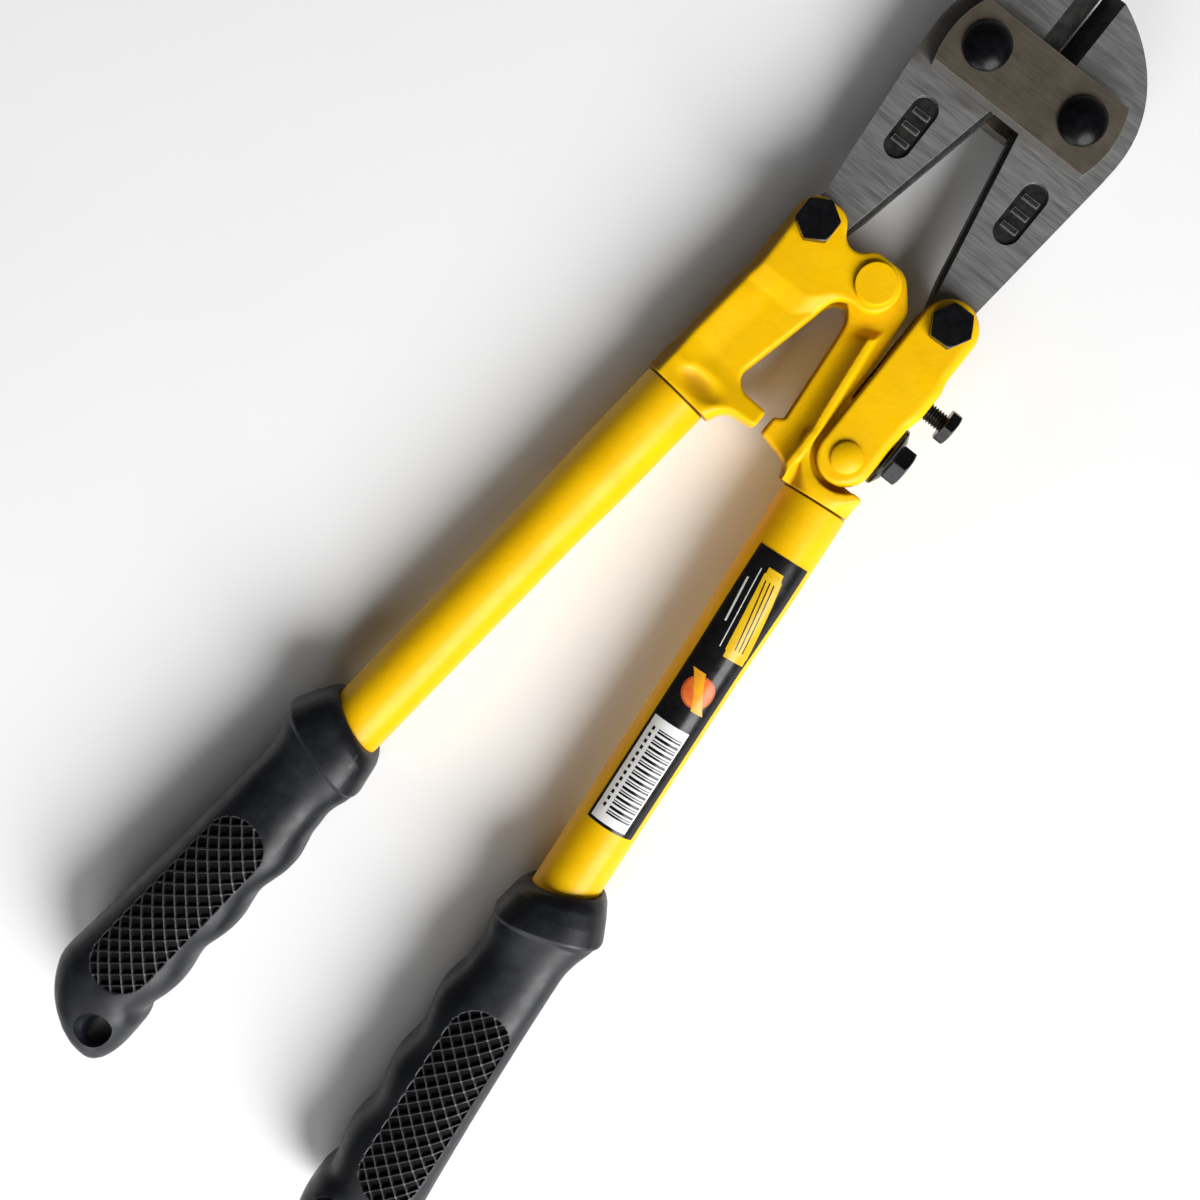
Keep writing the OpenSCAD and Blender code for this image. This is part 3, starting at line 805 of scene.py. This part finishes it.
def left_head_field(x, y, z):
    outline = plan(LEFT_OUTLINE, x, y)
    out, back = along_handle(-x, y)
    outer = -26.9 - 4.3 * np.clip((-70 - y) / 36.4, 0, 1)
    inward = x - outer
    # the fork's thick plates end in a slope whose edge bends up towards the centre boss
    lip = -69.3 + 5.8 * smooth((x + 12) / 8)
    half = FACE_Z - (FACE_Z - WAIST_Z) * np.clip((lip - y) / 5, 0, 1)
    # the web rises gently towards its outer side
    web = smooth((-69 - y) / 9) * smooth((y + 101) / 8)
    half = half + web * 0.9 * (1 - smooth((inward - 2) / 9))
    half = half + (SOCKET_R - WAIST_Z) * smooth((back + 13) / 8)
    side_edge = 1.9 * (1 - smooth((inward - 3) / 4)) * smooth((-54 - y) / 8)
    end_edge = 2.2 * smooth((back + 9) / 7)
    body = slab(outline, half, z, 1.0 + np.maximum(side_edge, end_edge))
    ring = np.maximum(np.hypot(out, z) - SOCKET_R, -back - 6)
    # a steep chamfer runs along the outer side
    steep = (np.abs(z) - 4.2 - 1.65 * inward) / 1.93
    body = cut(body, -steep, 0.9)
    body = join(body, ring, 2.0)
    body = cut(body, -(back + 0.05), 0.3)
    body = cut(body, np.maximum(plan(LEFT_SLOT, x, y), np.abs(z) - SLOT_Z), 0.3)
    dip = np.sqrt(((x - SCOOP[0]) / 2) ** 2 + (y - SCOOP[1]) ** 2 + (np.abs(z) - SOCKET_R - 1.0) ** 2) - 3
    body = cut(body, dip, 1.8)
    body = np.maximum(body, -disc((-PIVOT[0], PIVOT[1]), M6 + RUN, x, y))
    return np.maximum(body, -disc(CENTRE, RIVET_R + RUN, x, y))


SWING_R = 10.5  # the left head's plates turn over this much of the right head
RIVET_ROOM = 4.7  # hole for the centre rivet, wide enough for the linkage's play
RIM_GAP = 1.2  # between the adjusting arm and the rim round its end
RIM_W = 2.5
RIM_SIDE = 29.5  # where the rim ends
ARM_HALF = 7.4
HEAD_SIDE = 23.8  # the tongue ends here, beside the adjusting arm's outer wall
SOCKET_TOP = -98.5
INNER_SIDE = [(10.3, -102.4, 5), (0.9, -100.6, 1.2), (0.9, -95.9, 1), (3.2, -94.6, 1.2), (0.3, -64.8, 8)]
RIGHT_OUTLINE = rounded([
    (-7, -50, 6.9), (4.4, -50, 6), (10.7, -57, 6), (12.3, -72, 20), (12.6, -80.5, 0),
    (HEAD_SIDE, -80.5, 2), (HEAD_SIDE, -112, 0), (13.2, -112, 0), *INNER_SIDE, (-7, -62, 5),
])
FLANGE_OUTLINE = rounded([
    (4, -56, 2), (10.2, -57.5, 1), (12.2, -74, 3), (12.6, -112, 0), (13.4, -112, 0), *INNER_SIDE,
])
SOCKET_OUTLINE = rounded([
    (9.5, -101.5, 2), (14, -97.5, 3), (27.6, -98.6, 1), (30.6, -99, 1.5), (30.6, -112, 0), (9.5, -112, 0),
])
# Middle of the ridge on the right head's arm, from its upper end to the rim
RIDGE_LINE = [(6.6, -60), (7.0, -65), (8.8, -80), (9.8, -88), (10.6, -93)]
VALLEY_Z = 4.9  # beside the ridge


def arm_room(gap, x, y):
    """Plan distance to the space that the adjusting arm takes, widened by gap."""
    radius = ARM_HALF + gap
    round_end = disc(ARM_PIVOT, radius, x, y)
    beside = np.maximum(ARM_PIVOT[0] - radius - x, ARM_PIVOT[1] - y)
    return np.minimum(round_end, beside)


def right_head_field(x, y, z):
    outline = plan(RIGHT_OUTLINE, x, y)
    out, back = along_handle(x, y)
    body = slab(outline, WEB_Z, z, 0.7)
    ridge_x, ridge_y = np.transpose(RIDGE_LINE)
    across = x - np.interp(-y, -ridge_y, ridge_x)
    flange = plan(FLANGE_OUTLINE, x, y)
    # the face rises from its inner edge to a narrow ridge and drops behind it
    rise = np.clip((across + 7) / 6.4, 0, 1) ** 2 * smooth((2.5 - across) / 1.8)
    valley = WEB_Z + (VALLEY_Z - WEB_Z) * smooth((-66 - y) / 8)
    ridge_end = smooth(disc(CENTRE, SWING_R, x, y) / 2.6)
    half = valley + (RIDGE_Z - valley) * rise * ridge_end
    arm = slab(flange, half, z, 0.9)
    reach = disc(ARM_PIVOT, 0, x, y)
    ring = np.abs(reach - ARM_HALF - RIM_GAP - RIM_W / 2) - RIM_W / 2
    ring = cut(ring, -(y - ARM_PIVOT[1] - 0.5), 2.5)
    ring = np.maximum(ring, np.maximum(x - RIM_SIDE, back + 0.3))
    rim = slab(ring, RIDGE_Z, z, 0.9)
    arm = join(arm, rim, 1.6)
    socket_plan = plan(SOCKET_OUTLINE, x, y)
    ring_end = np.hypot(out, z) - SOCKET_R
    socket = cut(ring_end, -slab(socket_plan, SOCKET_R, z, 1.0), 0.8)
    arm = join(arm, socket, 3.8)
    swing = np.maximum(disc(CENTRE, SWING_R, x, y), WEB_Z + 0.02 - np.abs(z))
    arm = cut(arm, swing, 0.8)
    body = join(body, arm, 0.7)
    body = join(body, np.maximum(np.hypot(out, z) - SOCKET_R, -back - 3.4), 0.8)
    room = np.maximum(arm_room(RIM_GAP, x, y), WEB_Z - np.abs(z))
    body = cut(body, room, 0.4)
    wall_room = np.maximum(HEAD_SIDE - x, SOCKET_TOP - y)
    body = cut(body, wall_room, 0.3)
    body = cut(body, -(back + 0.05), 0.3)
    body = np.maximum(body, -disc(CENTRE + np.array((1.2, -0.35)), RIVET_ROOM, x, y))
    body = np.maximum(body, -disc(ARM_PIVOT, M6 + RUN, x, y))
    lock_hole = np.maximum(np.hypot(y - LOCK_Y, z) - M6 - RUN, LOCK_TIP - 0.8 - x)
    return np.maximum(body, -lock_hole)


WALL_X = 24.4  # inside face of the adjusting arm's outer wall
WALL_TOP = -62.7
WALL_BOTTOM = -98
ARM_OUTLINE = rounded([
    (13.0, -47.5, 7.3), (27.6, -47.5, 7.1), (27.9, -64.5, 4), (28.7, -67.5, 3), (28.7, -75, 3),
    (27.7, -79, 4), (27.6, -100, 7.1), (13.2, -100, 7.1),
])


def adjusting_arm_field(x, y, z):
    edge = 1.0 + 1.7 * smooth((x - 20) / 6) + 0 * y
    body = slab(plan(ARM_OUTLINE, x, y), FACE_Z, z, edge)
    wall = np.maximum(WALL_X - x, np.maximum(y - WALL_TOP, WALL_BOTTOM - y))
    slot = cut(np.abs(z) - SLOT_Z + 0 * (x + y), wall, 0.8)
    body = cut(body, slot, 0.3)
    body = np.maximum(body, -disc(PIVOT, M6 + RUN, x, y))
    body = np.maximum(body, -disc(ARM_PIVOT, M6 + RUN, x, y))
    screw_hole = np.hypot(y - SCREW_Y, z) - M5 - RUN + 0 * x
    lock_hole = np.hypot(y - LOCK_Y, z) - M6 - 0.6 + 0 * x
    return np.maximum(body, -np.minimum(screw_hole, lock_hole))


FIELD_STEP = 0.35  # spacing of the samples that the forgings' skins are made from


def forging(field, low, high):
    """A mesh of a distance field between two places, on both sides of the middle plane."""
    reach = 30.5 * FIELD_STEP
    low = (*low, -reach)
    x, y, z = grid(low, (*high, reach), FIELD_STEP)
    return skin(field(x, y, z), low, FIELD_STEP)


def tang(side):
    """The round tang that the tube is pressed on."""
    radius = TUBE_R - TUBE_WALL - RUN
    return stack(handle_lathe(side, [(radius, -4), (radius, 24.2), (radius - 0.8, 25)], 64))


def head_piece(name, shape, node, body):
    piece(name, shape, CAST_PAINT, body, [node], crease=70, even=False)


def make_heads():
    left = forging(left_head_field, (-34.1, -109.1), (8.5, -46))
    head_piece("left_head_forging", together(left, tang(-1)), "left_head", "left_handle")
    right = forging(right_head_field, (-9.1, -109.1), (33, -47.5))
    head_piece("right_head_forging", together(right, tang(1)), "right_head", "right_handle")
    arm = forging(adjusting_arm_field, (11.1, -102.1), (31, -45))
    head_piece("adjusting_arm_forging", arm, "adjusting_arm", "adjusting_arm")


# ---------- tubes and label ----------

TAPER = (27, 46)


def tube_radius(back):
    return np.interp(back, TAPER, (TUBE_R, TUBE_END_R))


def make_tubes():
    stations = [SEAM + 0.35, 10, 18, 25]
    stations += list(np.linspace(TAPER[0], TAPER[1], 9))
    stations += list(np.linspace(52, TUBE_END, 14))
    start = SEAM - 0.12
    profile = [(TUBE_R - TUBE_WALL, start), (TUBE_R - 0.35, start), (TUBE_R - 0.1, start + 0.1)]
    profile += [(tube_radius(s), s) for s in stations]
    profile += [(tube_radius(s) - TUBE_WALL, s) for s in (TUBE_END, TAPER[1], TAPER[0])]
    for side, name in SIDES:
        shape = stack(handle_lathe(side, profile, 112), closed=True)
        nodes = [name + "_tube"]
        piece(name + "_handle_tube", shape, PAINT, name + "_handle", nodes, crease=40)


# Round the tube the label is measured in degrees from the handle's outer side
LABEL_TURN = 84  # middle of the label
LABEL_SPAN = 98
LABEL_FROM, LABEL_TO = 15.4, 96
LABEL_LIFT = 0.02
LABEL_T = 0.14
INK = 0.04
FIRST_LAYER = LABEL_LIFT + LABEL_T - 0.005
SECOND_LAYER = FIRST_LAYER + INK - 0.01
BADGE_AT, BADGE_R = 54.6, 4.3
BARS_FROM, BARS_TO = 67.5, 92.5


def sticker(stations, first, last, lift, thick=INK, columns=24):
    """A thin patch on the right tube; first and last are its edges in degrees at each station."""
    rings = []
    for back, low, high in zip(stations, first, last):
        a = np.radians(np.linspace(low, high, columns))
        inner = tube_radius(back) + lift
        out = np.concatenate([(inner + thick) * np.cos(a), inner * np.cos(a[::-1])])
        up = np.concatenate([(inner + thick) * np.sin(a), inner * np.sin(a[::-1])])
        rings.append(on_handle(1, out, back, up))
    return stack(rings)


def straight(start, stop, first, last, lift, rows, columns):
    """A patch whose edges run along the tube."""
    stations = np.linspace(start, stop, rows)
    return sticker(stations, np.full(rows, first), np.full(rows, last), lift, columns=columns)


def round_patch(at, radius, lift):
    turn = np.linspace(0.02, pi - 0.02, 25)
    half = np.degrees(radius * np.sin(turn) / TUBE_END_R)
    return sticker(at - radius * np.cos(turn), LABEL_TURN + 1 - half, LABEL_TURN + 1 + half, lift)


def slanted_line(start, stop, first, last, width, lift):
    """A line whose place round the tube goes from first to last."""
    stations = np.linspace(start, stop, 8)
    place = np.linspace(first, last, 8)
    return sticker(stations, place - width / 2, place + width / 2, lift, columns=4)


def label_piece(name, shape, material, nodes=()):
    piece(name, shape, material, "right_handle", nodes, crease=30)


def label_base(black):
    """The black film, with stations wherever the tube's taper bends."""
    stations = [LABEL_FROM, 21] + list(np.linspace(TAPER[0], TAPER[1], 7)) + [60, 78, LABEL_TO]
    first = np.full(len(stations), LABEL_TURN - LABEL_SPAN / 2)
    base = sticker(stations, first, first + LABEL_SPAN, LABEL_LIFT, LABEL_T, 40)
    label_piece("label_film_black", base, black, ["label"])


def label_panel():
    """A slanting yellow panel with cut corners."""
    stations = np.array([19.3, 20.9, 21.2, 27, 33, 38, 41.8, 42.1, 43.7])
    inset = np.array([2.2, 2.2, 0, 0, 0, 0, 0, 2.2, 2.2])
    share = (stations - stations[0]) / (stations[-1] - stations[0])
    panel = sticker(stations, 70 - 32 * share + inset, 101 - 15 * share - inset, FIRST_LAYER)
    label_piece("label_panel_yellow", panel, film("label_yellow", (0.60, 0.37, 0.006), (0.68, 0.42, 0.01)))


def label_badge():
    """A red disc with a rust rim and a slanting amber band."""
    rim = round_patch(BADGE_AT, BADGE_R, FIRST_LAYER)
    label_piece("label_badge_rim", rim, film("label_rust", (0.42, 0.06, 0.02), (0.5, 0.1, 0.03)))
    disc_patch = round_patch(BADGE_AT, BADGE_R - 0.5, FIRST_LAYER + 0.01)
    label_piece("label_badge_red", disc_patch, film("label_red", (0.62, 0.09, 0.02), (0.78, 0.20, 0.03)))
    share = np.linspace(-1, 1, 7)
    lean = 85 - 18 * share
    wide = 9 + 3.5 * np.abs(share) ** 3
    band = sticker(BADGE_AT + 4.9 * share, lean - wide, lean + wide, FIRST_LAYER + INK + 0.005, columns=8)
    label_piece("label_badge_band", band, film("label_amber", (0.72, 0.30, 0.015), (0.80, 0.38, 0.02)))


def label_stripes(black):
    """Three black stripes along the yellow panel."""
    places = [(84.5 + k, 64.5 + k) for k in (-7.5, 0, 7.5)]
    stripes = [slanted_line(22.5, 41, first, last, 2.2, SECOND_LAYER) for first, last in places]
    label_piece("label_panel_stripes", together(*stripes), black)


def label_code(black):
    """A white panel with bars and ticks, and two white rules beside the yellow panel."""
    paper = film("label_white", (0.70, 0.70, 0.70), (0.80, 0.80, 0.80))
    label_piece("label_panel_white", straight(64.9, 95.1, 57, 127, FIRST_LAYER, 6, 30), paper)
    thin = slanted_line(20.5, 42, 108, 97, 1.6, FIRST_LAYER)
    thick = slanted_line(24, 36, 119, 112, 3.4, FIRST_LAYER)
    label_piece("label_rules_white", together(thin, thick), paper)
    ticks = [straight(at, at + 1.0, 113, 118, SECOND_LAYER, 2, 4) for at in np.arange(67.6, 92, 1.9)]
    label_piece("label_ticks_black", together(*ticks), black)
    bars = []
    at = BARS_FROM
    while at <= BARS_TO:
        i = len(bars)
        width = 0.3 + 0.22 * (i * 7 % 3)
        bars.append(straight(at, at + width, 60, 106, SECOND_LAYER, 2, 16))
        at += width + 0.28 + 0.2 * (i * 5 % 3)
    label_piece("label_bars_black", together(*bars), black)


def make_label():
    black = film("label_black", (0.004, 0.004, 0.005), (0.009, 0.009, 0.010), 0.22)
    label_base(black)
    label_panel()
    label_badge()
    label_stripes(black)
    label_code(black)


# ---------- grips ----------

# Rings of the grip: distance back, reach outwards, reach inwards, half thickness, slant
GRIP_COLLAR = [
    (116.3, 9.2, 9.4, 9.6, 0.36), (117.3, 10.2, 10.4, 10.6, 0.36), (119, 11.5, 11.3, 11.5, 0.34),
    (123, 13.6, 12.1, 12.4, 0.3), (127.6, 15.8, 13, 13, 0.24), (128.3, 15.1, 12.6, 12.4, 0.23),
    (129.6, 14.5, 12.5, 12.1, 0.19), (132.2, 13.2, 12.2, 11.7, 0.13), (136, 12.1, 11.4, 11.2, 0.06),
    (140.5, 11.9, 11, 11, 0),
]
GRIP_END = [
    (216.3, 13.6, 14.3, 12.4, 0), (219.3, 12.3, 14.6, 12.1, 0), (222.3, 10.4, 14.8, 11.6, 0),
    (225.3, 7.7, 14.8, 10.9, 0), (227.9, 4.5, 14.4, 9.8, 0), (230.1, 0.7, 13.6, 8.4, 0),
    (231.7, -3.2, 12.1, 6, 0), (232.3, -5.8, 10.5, 3.2, 0),
]
FINGER_WAVE, FINGER_PITCH, FIRST_FINGER = 0.8, 22.4, 156.8
GRIP_POWER = 2.7  # between an ellipse and a box
PANEL_FROM, PANEL_TO, PANEL_HALF = 151.7, 210.7, 8.35
LATTICE = 3.0  # distance between the knurl's ridges
LATTICE_STEP = LATTICE * 2 ** 0.5 / 16
CREST_HALF, PIT_SLOPE, PIT_DEPTH = 0.15, 0.36, 1.15
PANEL_SINK = 0.12  # the panel's ridges lie this far below the grip's skin
KNURL_ROWS = (148, 214)
HANG = (-7.4, 222.4)
HANG_R = 3.6


def grip_middle(s):
    """The straight stretch with its finger waves."""
    t = (s - 140.5) / 72
    crest = cos(2 * pi * (s - FIRST_FINGER) / FINGER_PITCH) * FINGER_WAVE
    inner = 11 + (1.8 + crest) * min(1, (s - 140.5) / 12) + 0.8 * t
    return (s, 11.9 + 2 * t * t, inner, 11 + 1.7 * min(1, 3 * t), 0)


def hermite(x, known_x, known_y):
    """Smooth curve through known values."""
    slope = np.gradient(known_y, known_x)
    i = np.clip(np.searchsorted(known_x, x) - 1, 0, len(known_x) - 2)
    width = known_x[i + 1] - known_x[i]
    t = (x - known_x[i]) / width
    start, end = known_y[i], known_y[i + 1]
    return (start * (1 + 2 * t) * (1 - t) ** 2 + slope[i] * width * t * (1 - t) ** 2
            + end * t * t * (3 - 2 * t) + slope[i + 1] * width * t * t * (t - 1))


def grip_curve(backs, known_x, known_y):
    """Straight pieces over the collar up to its widest ring, and a smooth curve behind it."""
    edge = 4
    smooth_part = hermite(np.maximum(backs, known_x[edge]), known_x[edge:], known_y[edge:])
    return np.where(backs < known_x[edge], np.interp(backs, known_x, known_y), smooth_part)


def grip_stations():
    """Distances back of the grip's rings, spaced for the knurl over its panel."""
    return np.concatenate([
        np.arange(GRIP_COLLAR[0][0], KNURL_ROWS[0], 0.5), np.arange(*KNURL_ROWS, LATTICE_STEP),
        np.arange(KNURL_ROWS[1], 229.8, 0.6), np.linspace(230, GRIP_END[-1][0], 14),
    ])


def bulge(t):
    """Height of the grip's cross-section, for t from -1 to 1 across it."""
    return (1 - np.abs(t) ** GRIP_POWER) ** (1 / GRIP_POWER)


def grip_ring(back, mid, half_w, half_t, held_mid, held_half, panel_shift, knurled):
    """Outward and upward places of a ring's points, and how deep the knurl sinks them."""
    columns = np.arange(-33, 34) * LATTICE_STEP
    sides = np.linspace(1, -1, 17)[1:-1]
    parts = []
    for face in (1, -1):
        t = np.clip((face * (panel_shift - columns) - held_mid) / held_half, -0.97, 0.97)
        across = mid + half_w * t
        sunk = knurl(across - face * panel_shift, back) if knurled else 0 * across
        parts.append((across, face * (half_t * bulge(t) - sunk), sunk))
        # down the side to the other face
        up = face * bulge(t[-1]) * sides
        parts.append((mid + half_w * np.sign(t[-1]) * bulge(up), half_t * up, 0 * up))
    return np.concatenate([np.stack(part, axis=-1) for part in parts])


def grip_bore(side, first_ring):
    """Rings of the hole for the tube, from its bottom to the grip's first ring."""
    out, _ = along_handle(side * first_ring[:, 0], first_ring[:, 1])
    around = np.arctan2(first_ring[:, 2], out)
    radius = TUBE_END_R + RUN
    out, up = radius * np.cos(around), radius * np.sin(around)
    places = ((TUBE_END + 0.2, 0), (150, 0), (116.5, GRIP_COLLAR[0][4]))
    return [on_handle(side, out, back - lean * out, up) for back, lean in places]


def grip_shape(side, panel_shift):
    """A grip, and the knurl's depth at each of its points."""
    table = np.array(GRIP_COLLAR + [grip_middle(s) for s in np.arange(144, 213, 3.6)] + GRIP_END)
    backs = grip_stations()
    reach_out, reach_in, half_t, slant = [grip_curve(backs, table[:, 0], table[:, k]) for k in (1, 2, 3, 4)]
    mid = (reach_out - reach_in) / 2
    half_w = (reach_out + reach_in) / 2
    # in front of and behind the knurl the columns of points follow the outline
    held = np.clip(backs, *KNURL_ROWS)
    held_mid = np.interp(held, backs, mid)
    held_half = np.interp(held, backs, half_w)
    rings, depths = [], []
    for r, back in enumerate(backs):
        sizes = (mid[r], half_w[r], half_t[r], held_mid[r], held_half[r])
        ring = grip_ring(back, *sizes, panel_shift, slant[r] < 0.02)
        depths.append(ring[:, 2])
        rings.append(on_handle(side, ring[:, 0], back - slant[r] * ring[:, 0], ring[:, 1]))
    # two smaller rings close the end
    for share, more in ((0.7, 0.12), (0.3, 0.2)):
        closing = (ring - ring.mean(axis=0)) * share + ring.mean(axis=0)
        rings.append(on_handle(side, closing[:, 0], backs[-1] + more, closing[:, 1]))
        depths.append(0 * ring[:, 2])
    inner = grip_bore(side, rings[0])
    depths = [np.zeros(len(ring)) for _ in inner] + depths
    return stack(inner + rings), np.concatenate(depths)


def knurl(across, back):
    """Depth of the knurled panel: square pits between raised diagonal ridges."""
    middle_back = (PANEL_FROM + PANEL_TO) / 2
    along = back - middle_back
    straight_half = (PANEL_TO - PANEL_FROM) / 2 - PANEL_HALF
    edge = np.hypot(np.maximum(abs(along) - straight_half, 0), across) - PANEL_HALF
    pits = 1
    for diagonal in ((across + along), (across - along)):
        off = np.abs(((diagonal / 2 ** 0.5 / LATTICE + 0.5) % 1) - 0.5) * LATTICE
        pits = pits * smooth((off - CREST_HALF) / PIT_SLOPE)
    inside = smooth(-edge / 0.5)
    return inside * (PANEL_SINK + PIT_DEPTH * pits)


def make_grips():
    for side, name, shift in ((-1, "left", 0.0), (1, "right", 1.4)):
        shape, depth = grip_shape(side, shift)
        made = piece(name + "_rubber_grip", shape, RUBBER, name + "_handle",
                     [name + "_grip"], crease=60, even=False)
        made.data.attributes.new("depth", "FLOAT", "POINT").data.foreach_set("value", depth)
        bore(made, on_handle(side, np.array(HANG[0]), HANG[1], 0.0))


def bore(target, at):
    """Cuts the hanging hole, with rounded lips."""
    profile = [(HANG_R + 3, -14), (HANG_R + 1.5, -10.4), (HANG_R + 0.5, -9.2)]
    profile += [(HANG_R + 0.1, -8.6), (HANG_R, -7.5)]
    profile += [(r, -z) for r, z in reversed(profile)]
    mesh = make_mesh("cutter", turned(stack(lathe(profile, 72)), upright(at[0], at[1])))
    cutter = linked("cutter", mesh)
    change = target.modifiers.new("hang_hole", "BOOLEAN")
    change.object = cutter
    change.operation = "DIFFERENCE"
    change.solver = "MANIFOLD"
    bpy.context.view_layer.update()
    result = target.evaluated_get(bpy.context.evaluated_depsgraph_get())
    target.data = bpy.data.meshes.new_from_object(result)
    target.modifiers.clear()
    finish_mesh(target.data, 50)
    bpy.data.objects.remove(cutter)


# ---------- stage ----------

def make_floor():
    low, _ = cad_box
    reach = 3.0
    mesh = bpy.data.meshes.new("floor")
    corners = [(x * reach, y * reach, low.z) for x, y in ((-1, -1), (1, -1), (1, 1), (-1, 1))]
    mesh.from_pydata(corners, [], [(0, 1, 2, 3)])
    mesh.materials.append(floor_paper())
    linked("floor", mesh)


def area_light(name, spot, target, size, power):
    data = bpy.data.lights.new(name, "AREA")
    data.shape = "DISK"
    data.size = size
    data.energy = power
    turn = (spot - target).to_track_quat("Z", "Y").to_matrix().to_4x4()
    linked(name, data).matrix_world = Matrix.Translation(spot) @ turn


def make_lights():
    heart = (cad_box[0] + cad_box[1]) / 2
    area_light("key", heart + Vector((1.6, -0.7, 1.3)), heart, 1.7, 84)
    area_light("fill", heart + Vector((0.45, -1.9, 1.0)), heart, 1.5, 22)
    make_backdrop()


def make_backdrop():
    """A pale room: bright round the horizon and dim overhead."""
    world = bpy.data.worlds.new("studio")
    world.use_nodes = True
    tree = world.node_tree
    direction = tree.nodes.new("ShaderNodeTexCoord")
    split = tree.nodes.new("ShaderNodeSeparateXYZ")
    level = tree.nodes.new("ShaderNodeMapRange")
    for name, value in (("From Min", 0.0), ("From Max", 0.35), ("To Min", 0.32), ("To Max", 0.06)):
        level.inputs[name].default_value = value
    tree.links.new(direction.outputs["Generated"], split.inputs[0])
    tree.links.new(split.outputs["Z"], level.inputs["Value"])
    tree.links.new(level.outputs["Result"], tree.nodes["Background"].inputs["Strength"])
    tree.nodes["Background"].inputs["Color"].default_value = (1, 1, 1, 1)
    bpy.context.scene.world = world
    bpy.context.scene.view_settings.view_transform = "Standard"


CAMERA_SPOT = (-4.62, -117.12, 333)  # in the tool's millimetres
CAMERA_TILT = atan2(40.75, 333)
CAMERA_ROLL = radians(38.55)
TOOL_TURN = radians(0.155)
LENS = 39.96


def make_camera():
    data = bpy.data.cameras.new("camera")
    data.lens = LENS
    data.sensor_width = 36
    camera = linked("camera", data)
    camera.matrix_world = Matrix.Translation(Vector(CAMERA_SPOT) * MM + ORIGIN)
    for turn, axis in ((-TOOL_TURN, "Z"), (-CAMERA_TILT, "X"), (CAMERA_ROLL, "Z")):
        camera.matrix_world @= Matrix.Rotation(turn, 4, axis)
    bpy.context.scene.camera = camera


make_camera()
make_jaws()
make_jaw_bolts()
make_pivot_bolts()
make_rivets()
make_adjuster()
make_heads()
make_tubes()
make_label()
make_grips()
make_floor()
make_lights()
